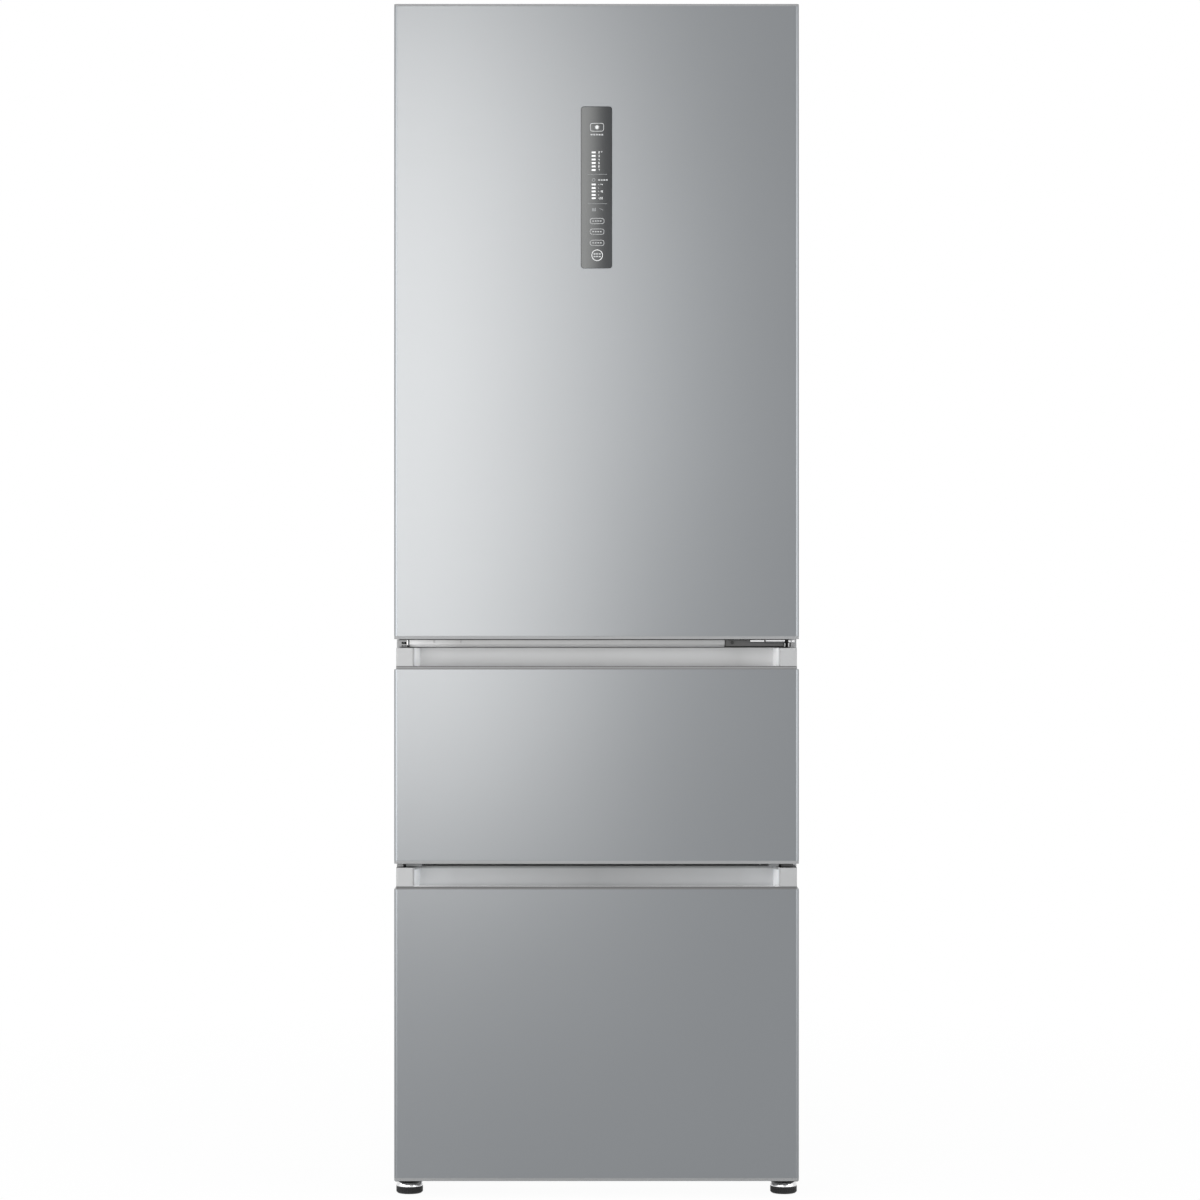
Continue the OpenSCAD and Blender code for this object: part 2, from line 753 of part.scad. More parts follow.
// small blocks in the gaps: the blanked hinge seat, the end stop and two drawer buffers
module gap_blocks() color("grey") {
    difference() {
        union() {
            box(-hw + 4.5, -hw + 18.5, nose_d - 2, cab_d, mid1 + 2, door0 - nose_gap);
            box(-hw + 4.5, -hw + 18.5, front_t + 2.5, cab_d, mid1 - 5, door0 + 5);
        }
        for (x = [13.3, 16.6]) rod(-hw + x, mid1 + 7.2, nose_d - 3, nose_d + 12, 1.3);
    }
    box(bracket_x + 0.3, hw - 6, nose_d - 2, cab_d, mid1 + 1.5, mid1 + 8);
    for (x = [[4, 13, -1], [8, 26, 1]]) {
        x0 = x[2] * (hw - x[0]);
        x1 = x[2] * (hw - x[1]);
        box(min(x0, x1), max(x0, x1), nose_d, cab_d, low1 + 1, mid0 - 1);
        box(min(x0, x1), max(x0, x1), front_t + 3, cab_d, low1 - 7, mid0 + 7);
    }
}

module pan_screw() {
    cylinder(r = 2.2, h = hinge_t);
    translate([0, 0, hinge_t]) cylinder(r = 4.6, h = 2.4);
}

module screws() color("silver") {
    for (s = [72, 56, 40]) translate([hx - s, yd(cab_d), plate_z + 20]) rotate([90, 0, 0]) pan_screw();
    translate([bracket_x - bracket_w + 10.5, yd(bracket_d + hinge_t), bracket_z + 5.2]) rotate([90, 0, 0]) {
        cylinder(r = 1.5, h = hinge_t);
        translate([0, 0, hinge_t]) cylinder(r = 2.6, h = 1.6);
    }
    for (p = [[-32, 18], [-32, 60], [2, 60]]) translate([hx + p[0], yd(cab_d + p[1]), roof_z]) pan_screw();
}

module shelf_glass() color("lightcyan")
    for (g = [glass_1, glass_2, glass_3, glass_4])
        wide(fx - 2, shelf_d, shelf_d + shelf_l, frz0 + g, frz0 + g + glass_t);

// profiles on the front edges of the shelves
module shelf_trims() color("whitesmoke")
    for (g = [glass_1, glass_2, glass_3, glass_4]) difference() {
        translate([0, yd(shelf_d + 2), frz0 + g + glass_t / 2]) rotate([90, 0, 90])
            translate([0, 0, -fx + 10]) linear_extrude(2 * fx - 20) rsq(14, glass_t + 7, 3);
        wide(fx, shelf_d, shelf_d + 20, frz0 + g, frz0 + g + glass_t);
    }

// open drawer with a thicker rim and a handle lip in front
module fridge_drawer(x0, x1, z0, z1) {
    d0 = shelf_d + 10;
    tub(x0, x1, d0, shelf_d + shelf_l, z0, z1, 14);
    difference() {
        tub_block(x0, x1, d0 - 12, d0 + 14, z1 - 26, z1 - 4, 8);
        tub_block(x0 + 4, x1 - 4, d0 - 9, d0 + 6, z1 - 27, z1 - 8, 5);
        box(x0 - 1, x1 + 1, d0 + bin_t, d0 + 20, z0, z1 + 1);
    }
}

// chill drawer on the floor ribs and two crispers on the glass above it
module fridge_drawers() color("lightblue") {
    z0 = frz0 + glass_1 + glass_t;
    fridge_drawer(-fx + 12, fx - 12, frz0 + 5, frz0 + glass_1 - 10);
    fridge_drawer(-fx + 12, -2, z0, frz0 + glass_2 - 10);
    fridge_drawer(2, fx - 12, z0, frz0 + glass_2 - 10);
}

// air duct on the rear wall with outlet slots
module fridge_air_duct() color("whitesmoke") difference() {
    z0 = frz0 + glass_1 + glass_t + 12;
    z1 = frz1 - 40;
    translate([0, yd(frd - air_duct_t / 2), z0]) linear_extrude(z1 - z0) rsq(air_duct_w, air_duct_t, 6);
    wide(air_duct_w / 2 - 10, frd - air_duct_t + 3, frd + 1, z0 + 3, z1 - 3);
    d0 = frd - air_duct_t;
    for (i = [0:8]) wide(air_duct_w * 0.32, d0 - 1, d0 + 4, z0 + 40 + i * 50, z0 + 48 + i * 50);
}

module ceiling_lamp() color("white") difference() {
    x = lamp_w / 2;
    d0 = shelf_d + 70;
    d1 = d0 + lamp_l;
    tub_block(-x, x, d0, d1, frz1 - lamp_h, frz1, 12);
    tub_block(-x + 4, x - 4, d0 + 4, d1 - 4, frz1 - lamp_h + 2, frz1 + 1, 8);
}

// cover of the evaporator with the fan opening and the return slots
module freezer_air_duct() color("whitesmoke") {
    x = zx - 1.5;
    z = evap_fan_z;
    d0 = zd - duct_d;
    d1 = d0 + duct_t;
    difference() {
        wide(x, d0, zd, step_z, zz1);
        wide(x - duct_t, d1, zd + 1, step_z - 1, zz1 - duct_t);
        rod(0, z, d0 - 1, d1 + 1, evap_fan_r + 4);
        for (i = [0:9]) for (s = [-1, 1])
            box(s * (45 + i * 16) - 4, s * (45 + i * 16) + 4, d0 - 1, d1 + 1, step_z + 20, step_z + 60);
    }
    for (a = [0:45:135]) translate([0, yd(d0 + 0.5), z]) rotate([0, a, 0])
        translate([-evap_fan_r - 5, 0, -1.5]) cube([2 * evap_fan_r + 10, 1.5, 3]);
    difference() {
        rod(0, z, d0 + 0.5, d0 + 2, 34);
        rod(0, z, d0, d0 + 3, 31);
    }
    rod(0, z, d0 + 0.5, d0 + 2, 12);
}

module evaporator() color("gainsboro")
    coil(-evap_w / 2, evap_w / 2, zd - evap_t, zd, step_z + evap_gap, evap_fan_z - evap_fan_r - 45, 21, 5);

module fan_motors() color("dimgrey") {
    d0 = cond_d + cond_t + 38;
    motor(0, evap_fan_z, zd - evap_motor_l, zd);
    motor(cond_fan_x, base_z + cond_fan_z, d0, d0 + cond_motor_l);
    box(cond_fan_x - 6, cond_fan_x + 6, d0 + 10, d0 + 22, base_z + case_t, base_z + cond_fan_z - 15);
}

// hermetic compressor: welded shell, mounting plate, terminal box and tubes
module compressor() color("black") {
    x = comp_x;
    d = comp_d;
    z = base_z + case_t + comp_foot_h;
    translate([x, yd(d), z + 2]) rotate_extrude($fn = 72) {
        square([comp_r, comp_h / 2]);
        translate([0, comp_h / 2]) square([comp_r + 4, 6]);
        translate([0, comp_h / 2]) square([comp_r - 2, comp_h / 2 - 40]);
        translate([0, comp_h - 40]) intersection() {
            circle(comp_r - 2, $fn = 96);
            square([comp_r, 40]);
        }
    }
    px = comp_foot_x + 15;
    pd = comp_foot_d + 14;
    tub_block(x - px, x + px, d - pd, d + pd, z, z + 2, 12);
    box(x + comp_r - 6, x + comp_r + 40, d - 28, d + 28, z + 20, z + 62);
    post(x + 40, d - 40, z + comp_h / 2, z + comp_h + 10, 4);
    post(x - 40, d - 40, z + comp_h / 2, z + comp_h + 10, 4);
}

module compressor_mounts() color("dimgrey")
    for (x = [-comp_foot_x, comp_foot_x], d = [-comp_foot_d, comp_foot_d])
        post(comp_x + x, comp_d + d, base_z + case_t, base_z + case_t + comp_foot_h, 11);

module condenser() color("dimgrey") {
    z = base_z + 14;
    coil(cond_x0, cond_x1, cond_d, cond_d + cond_t, z, z + cond_h, 15, 5);
    for (x = [cond_x0 + 12, cond_x1 - 12]) box(x - 3, x + 3, cond_d, cond_d + cond_t, base_z + case_t, z);
}

// slotted cover behind the machine bay
module machine_cover() color("dimgrey") difference() {
    wide(hw - case_t, back_in, back_d, base_z, bay_z + case_t);
    for (i = [0:13], s = [0, 1])
        box(cond_x1 - i * 17 - 7, cond_x1 - i * 17, back_d - 5, back_d + 1,
            base_z + 30 + s * 90, base_z + 105 + s * 90);
    for (i = [0:9])
        box(inlet_x + 5 + i * 17, inlet_x + 12 + i * 17, back_d - 5, back_d + 1, base_z + 120, base_z + 195);
    box(inlet_x, inlet_x + inlet_w, back_d - 5, back_d + 1, base_z + 40, base_z + 40 + inlet_h);
}

// generic mains inlet with three blades in a recess
module mains_inlet() color("black") {
    x1 = inlet_x + inlet_w;
    z0 = base_z + 40;
    z1 = z0 + inlet_h;
    xm = (inlet_x + x1) / 2;
    zm = (z0 + z1) / 2;
    difference() {
        union() {
            box(inlet_x, x1, back_d - 24, back_d, z0, z1);
            box(inlet_x - 5, x1 + 5, back_d, total_d, z0 - 5, z1 + 5);
        }
        box(inlet_x + 6, x1 - 6, back_d - 18, total_d + 1, z0 + 6, z1 - 6);
    }
    for (x = [-7, 0, 7]) box(xm + x - 1, xm + x + 1, back_d - 19, back_d - 4, zm - 4, zm + 4);
}

module slide_outers() color("silver") {
    outer_members(mid_slide_z);
    outer_members(low_slide_z);
}

// brackets under the base for the front feet and the rear rollers
module support_brackets() color("dimgrey") pair() {
    difference() {
        union() {
            box(foot_x - 20, foot_x + 20, foot_d - 22, cab_d + 60, base_z - 3, base_z);
            post(foot_x, foot_d, foot_pad_h + foot_dome_h + 1, base_z, 17.5);
        }
        post(foot_x, foot_d, foot_pad_h, base_z + 1, stem_r + run_gap);
    }
    for (s = [-1, 1]) {
        x = roller_x + s * (roller_w / 2 + 2);
        box(x - 1, x + 1, roller_d - 13, roller_d + 13, roller_r - 6, base_z);
    }
    bar(roller_x - roller_w / 2 - 2, roller_x + roller_w / 2 + 2, roller_d, roller_r, axle_r);
}

module evaporator_fan() color("whitesmoke") fan(0, evap_fan_z, zd - 60, evap_fan_r);
module condenser_fan() color("dimgrey")
    fan(cond_fan_x, base_z + cond_fan_z, cond_d + cond_t + 12, cond_fan_r);

// levelling foot: knurled pad, domed plate and stem
module foot() {
    difference() {
        union() {
            post(foot_x, foot_d, foot_bevel, foot_pad_h, foot_r);
            translate([foot_x, yd(foot_d), 0])
                cylinder(r1 = foot_r - foot_bevel, r2 = foot_r, h = foot_bevel);
        }
        for (a = [0:9:351]) translate([foot_x, yd(foot_d), -1]) rotate([0, 0, a])
            translate([foot_r + 0.4, 0, 0]) cylinder(r = 0.9, h = foot_pad_h - 1, $fn = 16);
    }
    translate([foot_x, yd(foot_d), foot_pad_h])
        cylinder(r1 = foot_r - 0.6, r2 = foot_r - 2.8, h = foot_dome_h);
    post(foot_x, foot_d, foot_pad_h, base_z - 0.5, stem_r);
}

module left_foot() color("black") mirror([1, 0, 0]) foot();
module right_foot() color("black") foot();

module roller() difference() {
    bar(roller_x - roller_w / 2, roller_x + roller_w / 2, roller_d, roller_r, roller_r);
    bar(roller_x - roller_w, roller_x + roller_w, roller_d, roller_r, axle_r + run_gap);
}

module left_roller() color("white") mirror([1, 0, 0]) roller();
module right_roller() color("white") roller();

// notch at the upper right rear corner of the door for the hinge arm
module hinge_pocket(g) box(pocket_x - g, hw + 1, pocket_d - g, front_t + 1, pocket_z - g, door1 + 1);

module insert_block(z0, z1) box(hx - insert_s, hx + insert_s, hinge_d - insert_s, hinge_d + insert_s, z0, z1);

module door_skin() color("silver") difference() {
    skin(door0 + cap_rim, door1 - top_rim);
    hinge_pocket(0);
    translate([0, yd(-1), door1 - display_drop - display_h / 2]) rotate([-90, 0, 0])
        linear_extrude(5) rsq(display_w + 1, display_h + 1, display_r + 0.5);
}

module door_top_cap() color("lightgrey") difference() {
    z = door1 - top_rim;
    union() {
        difference() {
            union() {
                front_slab(0, inner_d, z, door1);
                front_slab(skin_t, inner_d, z - cap_skirt, z);
            }
            front_slab(skin_t + cap_wall, inner_d - cap_wall, z - cap_skirt - 1, z + 0.5);
        }
        intersection() {
            hinge_pocket(cap_wall);
            front_slab(skin_t, inner_d, pocket_z - cap_wall, door1);
        }
    }
    hinge_pocket(0);
    post(hx, hinge_d, pocket_z - 9, pocket_z + 1, pin_r + 1);
}

module door_bottom_cap() color("lightgrey") difference() {
    lower_cap(door0);
    insert_block(door0 - 1, door0 + insert_h);
}

// a slab of foam, and foam bars in the ridge, a slit apart from the slab and from each other
module door_foam() color("khaki") {
    x0 = fx - 12 - ridge_w + liner_t;
    x1 = fx - 12 - liner_t;
    z0 = frz0 + 8 + ridge_w - liner_t;
    z1 = frz1 - 8 - ridge_w + liner_t;
    ridge_end = front_t + ridge_d - liner_t;
    difference() {
        union() {
            front_slab(skin_t, inner_d, door0 + cap_rim + cap_skirt, door1 - top_rim - cap_skirt);
            front_slab(skin_t + cap_wall, inner_d - cap_wall, door0 + cap_rim - 1.5, door1 - top_rim + 0.5);
            pair() box(x0, x1, inner_d + foam_slit, ridge_end, z0 + foam_slit, z1 - foam_slit);
            wide(x0 - foam_slit, inner_d + foam_slit, ridge_end, frz0 + 8 + liner_t, z0);
            wide(x0 - foam_slit, inner_d + foam_slit, ridge_end, z1, frz1 - 8 - liner_t);
        }
        hinge_pocket(cap_wall);
        insert_block(door0 - 1, door0 + insert_h);
        insert_block(pocket_z - cap_wall - insert_h, pocket_z);
        display_box();
    }
}

// vacuum formed inner door with the ridge that carries the bins
module door_liner() color("white") {
    x1 = fx - 12;
    z0 = frz0 + 8;
    z1 = frz1 - 8;
    rib = ridge_w - liner_t;
    difference() {
        union() {
            wide(hw - skin_flange, inner_d, front_t, door0, door1);
            wide(x1, inner_d, front_t + ridge_d, z0, z1);
        }
        wide(x1 - ridge_w, front_t, front_t + ridge_d + 1, z0 + ridge_w, z1 - ridge_w);
        difference() {
            wide(x1 - liner_t, inner_d - 1, front_t + ridge_d - liner_t, z0 + liner_t, z1 - liner_t);
            wide(x1 - rib, inner_d - 2, front_t + ridge_d, z0 + rib, z1 - rib);
        }
        hinge_pocket(0);
    }
}

module door_seal() color("whitesmoke") seal(door0 + seal_edge, roof_z - seal_w);

// open bins between the ridges, the lowest one taller for bottles
module door_bins() color("lightblue")
    for (b = [[bin_1, bottle_bin_h], [bin_2, jar_bin_h], [bin_3, jar_bin_h], [bin_4, jar_bin_h]]) {
    x = fx - 12 - ridge_w;
    z = frz0 + b[0];
    difference() {
        tub(-x, x, front_t, front_t + bin_d, z, z + b[1], bin_r);
        box(-x + 60, x - 60, front_t + bin_d - 10, front_t + bin_d + 1, z + b[1] - 22, z + b[1] + 1);
    }
}

module display_box() {
    z1 = door1 - display_drop + 6;
    wide(display_w / 2 + 6, skin_t, 20, z1 - display_h - 12, z1);
}

// glossy window, almost flush with the skin
module display_window() color("black")
    translate([0, yd(0.2), door1 - display_drop - display_h / 2]) rotate([-90, 0, 0])
        linear_extrude(2.6) rsq(display_w, display_h, display_r);

module display_housing() color("dimgrey") difference() {
    display_box();
    translate([0, yd(0), door1 - display_drop - display_h / 2]) rotate([-90, 0, 0])
        linear_extrude(2.8) rsq(display_w + 1, display_h + 1, display_r + 0.5);
    wide(display_w / 2 - 3, 0, 17, door1 - display_drop - display_h + 3, door1 - display_drop - 3);
}

module hinge_inserts() color("whitesmoke") difference() {
    union() {
        insert_block(door0, door0 + insert_h);
        insert_block(pocket_z - cap_wall - insert_h, pocket_z - cap_wall);
    }
    post(hx, hinge_d, door0 - 1, door0 + insert_h - 3, pin_r + run_gap);
    post(hx, hinge_d, pocket_z - cap_wall - insert_h - 1, pocket_z, pin_r + run_gap);
}

module middle_skin() color("silver") skin(mid0 + cap_rim, mid1 - grip_h - lip_h);
module middle_grip() color("lightgrey") grip(mid1);
module middle_inner_panel() color("lightgrey") inner_panel(mid0, mid1);
module middle_foam() color("khaki") drawer_foam(mid0, mid1);
module middle_seal() color("whitesmoke") seal(mid0 + seal_edge, mid1 - seal_edge + 1);
module middle_frame() color("silver") frame(mid_slide_z, mid_slide_z - 17, mid_slide_z + 17);
module middle_slides() color("silver") middle_members(mid_slide_z);

module middle_basket() color("white")
    basket(basket_x, front_t + 24, slide_d + slide_l, mid_slide_z - 17, zz1 - 30);

module lower_skin() color("silver") skin(low0 + cap_rim, low1 - grip_h - lip_h);
module lower_grip() color("lightgrey") grip(low1);
module lower_inner_panel() color("lightgrey") inner_panel(low0, low1);
module lower_foam() color("khaki") drawer_foam(low0, low1);
module lower_seal() color("whitesmoke") seal(low0 + seal_edge + 1, low1 - seal_edge);
module lower_slides() color("silver") middle_members(low_slide_z);

// drawer frame with a second pair of ledges for the upper tray
module lower_frame() color("silver") {
    z0 = low_slide_z - 30;
    z1 = low_slide_z + 17;
    frame(low_slide_z, z0, z1);
    pair() box(frame_x - ledge_w, frame_x, front_t, slide_d + slide_l, z1, z1 + frame_t);
}

// deep basket that hangs by its rim from the frame ledges
module lower_basket() color("white") {
    z = low_slide_z - 30;
    x = frame_x - ledge_w - 1;
    basket(x, front_t + 24, step_d - 6, zz0 + 8, z + 4);
    difference() {
        tub_block(-basket_x, basket_x, front_t + 24, step_d - 6, z, z + 3, 10);
        tub_block(-x + bin_t, x - bin_t, front_t + 24 + bin_t, step_d - 6 - bin_t, z - 1, z + 4, 9.5);
    }
}

module lower_tray() color("white")
    basket(basket_x, front_t + 24, slide_d + slide_l, low_slide_z + 17 + frame_t, rail_z - 6);
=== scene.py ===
import json
import math
import bmesh
import bpy
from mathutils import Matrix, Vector


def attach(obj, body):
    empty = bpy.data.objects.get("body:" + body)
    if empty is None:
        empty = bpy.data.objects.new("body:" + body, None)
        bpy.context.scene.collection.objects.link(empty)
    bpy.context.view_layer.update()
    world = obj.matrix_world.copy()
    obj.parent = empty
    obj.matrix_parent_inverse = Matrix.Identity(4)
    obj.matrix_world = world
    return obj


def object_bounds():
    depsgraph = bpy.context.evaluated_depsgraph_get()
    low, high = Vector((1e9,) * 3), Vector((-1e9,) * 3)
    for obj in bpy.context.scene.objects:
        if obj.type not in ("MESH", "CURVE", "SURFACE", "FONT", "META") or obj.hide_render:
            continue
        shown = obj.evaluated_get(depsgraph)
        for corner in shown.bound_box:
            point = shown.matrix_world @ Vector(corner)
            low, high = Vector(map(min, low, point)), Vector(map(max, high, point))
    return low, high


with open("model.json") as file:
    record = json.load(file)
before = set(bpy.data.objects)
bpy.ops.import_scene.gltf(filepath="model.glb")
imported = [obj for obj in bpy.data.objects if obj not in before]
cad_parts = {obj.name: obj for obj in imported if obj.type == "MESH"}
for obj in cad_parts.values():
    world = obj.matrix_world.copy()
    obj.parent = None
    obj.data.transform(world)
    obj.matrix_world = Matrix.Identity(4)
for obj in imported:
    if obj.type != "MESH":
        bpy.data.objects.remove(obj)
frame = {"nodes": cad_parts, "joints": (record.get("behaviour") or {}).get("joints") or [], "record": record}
NODES = frame["nodes"]
cad_box = [list(c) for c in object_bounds()]

# places from the frame, in millimetres

MM = 0.001
HALF_DEPTH = round(-cad_box[0][1] / MM, 1)
JOINTS = {joint["name"]: joint for joint in frame["joints"]}


def point(x, d, z):
    """A place in millimetres: across, behind the front plane, above the floor."""
    return Vector((x * MM, (d - HALF_DEPTH) * MM, z * MM))


def axis_place(joint):
    """Where the upright axis of a joint stands: across, and behind the front plane."""
    x, y = (round(metres / MM, 1) for metres in JOINTS[joint]["pos_m"][:2])
    return x, y + HALF_DEPTH


# shader nodes

def feed(tree, socket, value):
    """Gives an input a link from another socket, or a constant."""
    if isinstance(value, bpy.types.NodeSocket):
        tree.links.new(value, socket)
    else:
        socket.default_value = value


def add_node(tree, kind, inputs=None, **settings):
    """A shader node with its settings and with what feeds its inputs."""
    node = tree.nodes.new("ShaderNode" + kind)
    for key, value in settings.items():
        setattr(node, key, value)
    for key, value in (inputs or {}).items():
        feed(tree, node.inputs[key], value)
    return node


def seen_directly(tree):
    """1 for the rays of the camera, of mirrors and of clear parts, 0 for those that gather light."""
    path = add_node(tree, "LightPath")
    seen = path.outputs["Is Camera Ray"]
    for kind in ("Is Transmission Ray", "Is Glossy Ray"):
        seen = add_node(tree, "Math", {0: seen, 1: path.outputs[kind]}, operation="MAXIMUM").outputs[0]
    return seen


class Look:
    """A principled material built from nodes, in object space, so a metre is a metre."""

    TINT_SPAN = (0.3, 0.7)
    COOL = (1.0, 1.01, 1.02)

    def __init__(self, name, color, rough, metal=0.0):
        self.name = name
        self.color = color
        self.mat = bpy.data.materials.new(name)
        self.mat.use_nodes = True
        self.tree = self.mat.node_tree
        self.tree.nodes.clear()
        self.bsdf = self.add("BsdfPrincipled", {
            "Base Color": (*color, 1.0), "Roughness": rough, "Metallic": metal})
        self.add("OutputMaterial", {"Surface": self.bsdf.outputs["BSDF"]})
        self.coords = self.add("TexCoord").outputs["Object"]

    def add(self, kind, inputs=None, **settings):
        return add_node(self.tree, kind, inputs, **settings)

    def give(self, name, value):
        """Sets an input of the shader."""
        feed(self.tree, self.bsdf.inputs[name], value)

    def noise(self, scale, detail=4.0, stretch=(1, 1, 1)):
        place = self.add("Mapping", {"Vector": self.coords, "Scale": stretch}).outputs["Vector"]
        return self.add("TexNoise", {"Vector": place, "Scale": scale, "Detail": detail}).outputs["Fac"]

    def gloss(self, pattern, low, high):
        """Lets the roughness follow a pattern."""
        span = self.add("MapRange", {"Value": pattern, "To Min": low, "To Max": high})
        self.give("Roughness", span.outputs["Result"])

    def tint(self, pattern, dark, light):
        """Lets the colour follow a pattern, between two shares of itself."""
        ramp = self.add("ValToRGB", {"Fac": pattern})
        for element, place, share in zip(ramp.color_ramp.elements, self.TINT_SPAN, (dark, light)):
            element.position = place
            element.color = (*[min(1.0, c * share) for c in self.color], 1)
        self.tinted = ramp.outputs["Color"]
        self.give("Base Color", self.tinted)

    def along(self, axis, stops, kind="CONSTANT"):
        """Greys along one axis, in steps or in slopes: pairs of a place in metres and a grey."""
        low, high = stops[0][0], stops[-1][0]
        split = self.add("SeparateXYZ", {"Vector": self.coords})
        place = self.add("MapRange", {"Value": split.outputs[axis], "From Min": low, "From Max": high})
        ramp = self.add("ValToRGB", {"Fac": place.outputs["Result"]})
        ramp.color_ramp.interpolation = kind
        elements = ramp.color_ramp.elements
        while len(elements) < len(stops):
            elements.new(1.0)
        for element, (at, grey) in zip(elements, stops):
            element.position = (at - low) / (high - low)
            element.color = (*[grey * share for share in self.COOL], 1)
        return ramp.outputs["Color"]

    def mixed(self, kind, factor, a, b):
        mix = self.add("Mix", {"Factor": factor, "A": a, "B": b}, data_type="RGBA", blend_type=kind)
        return mix.outputs["Result"]

    def painted_light_and_tone_zones(self, zones):
        """Puts greys by place, mostly painted light and shade, under the faint tint that the material has
        already.
        """
        self.give("Base Color", self.mixed("MULTIPLY", 1.0, zones, self.tinted))

    def bump(self, pattern, strength, distance, edge=0.0):
        """Fine relief, over rounded edges where a radius is given."""
        inputs = {"Height": pattern, "Strength": strength, "Distance": distance}
        if edge:
            inputs["Normal"] = self.add("Bevel", {"Radius": edge}, samples=4).outputs["Normal"]
        self.give("Normal", self.add("Bump", inputs).outputs["Normal"])


# materials

def plastic(name, color, rough, grain=900.0, depth=0.00006, vary=0.05, edge=0.0006):
    """Moulded plastic: fine erosion grain, slightly uneven gloss, softened edges."""
    look = Look(name, color, rough)
    fine = look.noise(grain, detail=3.0)
    broad = look.noise(9.0, detail=3.0)
    look.gloss(broad, rough - vary, rough + vary)
    look.tint(broad, dark=0.97, light=1.03)
    look.bump(fine, strength=0.35, distance=depth, edge=edge)
    return look


def steel(
        name, color, rough, along=(1, 1, 1),
        vary=0.04, aniso=0.0, edge=0.0004, contrast=0.03, lines=0.25):
    """Rolled or brushed metal: fine hairlines along one direction and a broad, faint unevenness."""
    look = Look(name, color, rough, metal=1.0)
    hairlines = look.noise(420.0, detail=6.0, stretch=along)
    broad = look.noise(3.0, detail=2.0)
    look.gloss(hairlines, rough - vary, rough + vary)
    look.tint(broad, dark=1 - contrast, light=1 + contrast)
    if aniso:
        upright = look.add("Tangent", direction_type="RADIAL", axis="Z")
        look.give("Anisotropic", aniso)
        look.give("Anisotropic Rotation", 0.25)
        look.give("Tangent", upright.outputs["Tangent"])
    look.bump(hairlines, strength=lines, distance=0.00002, edge=edge)
    return look


def paint(name, color, rough, peel=260.0, depth=0.00008, edge=0.0006):
    """Powder coat: faint orange peel under an even gloss."""
    look = Look(name, color, rough)
    fine = look.noise(peel, detail=3.0)
    broad = look.noise(4.0, detail=2.0)
    look.gloss(broad, rough - 0.05, rough + 0.05)
    look.tint(broad, dark=0.97, light=1.02)
    look.bump(fine, strength=0.3, distance=depth, edge=edge)
    return look


def clear(name, color, rough, ior=1.49):
    """See-through plastic or glass with faint waviness."""
    look = Look(name, color, rough)
    look.give("Transmission Weight", 0.85)
    look.give("IOR", ior)
    waves = look.noise(30.0, detail=3.0)
    look.gloss(waves, max(0.0, rough - 0.03), rough + 0.03)
    look.bump(waves, strength=0.1, distance=0.0001)
    return look


def foam(name):
    """Insulating foam: small cells in yellow."""
    look = Look(name, (0.62, 0.52, 0.3), 0.9)
    cells = look.add("TexVoronoi", {"Vector": look.coords, "Scale": 300.0}).outputs["Distance"]
    look.tint(cells, dark=0.85, light=1.05)
    look.bump(cells, strength=0.5, distance=0.0006)
    return look


def rubber(name, color, rough=0.65):
    """Rubber: soft edges, dull, with a fine grain."""
    look = Look(name, color, rough)
    fine = look.noise(500.0, detail=2.0)
    look.gloss(look.noise(20.0), rough - 0.06, rough + 0.08)
    look.tint(fine, dark=0.94, light=1.05)
    look.bump(fine, strength=0.3, distance=0.00008, edge=0.0008)
    return look


# one look for each material slot of the record
SLOT_LOOKS = {look.name: look for look in (
    paint("case_paint", (0.47, 0.475, 0.48), 0.42),
    steel(
        "front_steel", (0.2265, 0.238, 0.25), 0.28, (0.02, 1, 1),
        vary=0.01, aniso=0.45, contrast=0.01, lines=0.1),
    steel("galvanised", (0.5, 0.51, 0.52), 0.45, (1, 1, 0.1), vary=0.06),
    plastic("grip_plastic", (0.5, 0.5, 0.505), 0.45),
    plastic("liner_white", (0.82, 0.83, 0.84), 0.34, grain=1400.0, depth=0.00001, vary=0.02),
    plastic("white_plastic", (0.78, 0.78, 0.78), 0.4),
    foam("foam"),
    rubber("seal_rubber", (0.2, 0.205, 0.21)),
    paint("hinge_black", (0.015, 0.015, 0.017), 0.4),
    plastic("grey_plastic", (0.2, 0.205, 0.21), 0.5),
    steel("screw_steel", (0.55, 0.55, 0.56), 0.3, contrast=0.08),
    clear("shelf_glass", (0.9, 0.96, 0.95), 0.02, ior=1.5),
    clear("clear_plastic", (0.88, 0.92, 0.95), 0.12),
    plastic("lamp_diffuser", (0.85, 0.85, 0.84), 0.35),
    steel("fin_aluminium", (0.72, 0.73, 0.74), 0.35, (1, 1, 0.1)),
    paint("machine_black", (0.02, 0.02, 0.021), 0.35),
    rubber("rubber_black", (0.012, 0.012, 0.012)),
    plastic("black_plastic", (0.022, 0.022, 0.023), 0.45),
    plastic(
        "window_black", (0.01, 0.01, 0.011), 0.05,
        grain=200.0, depth=0.000003, vary=0.005, edge=0.0003),
    steel("slide_steel", (0.6, 0.61, 0.62), 0.32, (1, 0.03, 1), contrast=0.08),
)}
SLOT_LOOKS["window_black"].give("IOR", 1.62)
SLOT_LOOKS["window_black"].give("Specular Tint", (0.93, 0.975, 1.0, 1.0))
SLOT_LOOKS["rubber_black"].give("Specular IOR Level", 0.25)

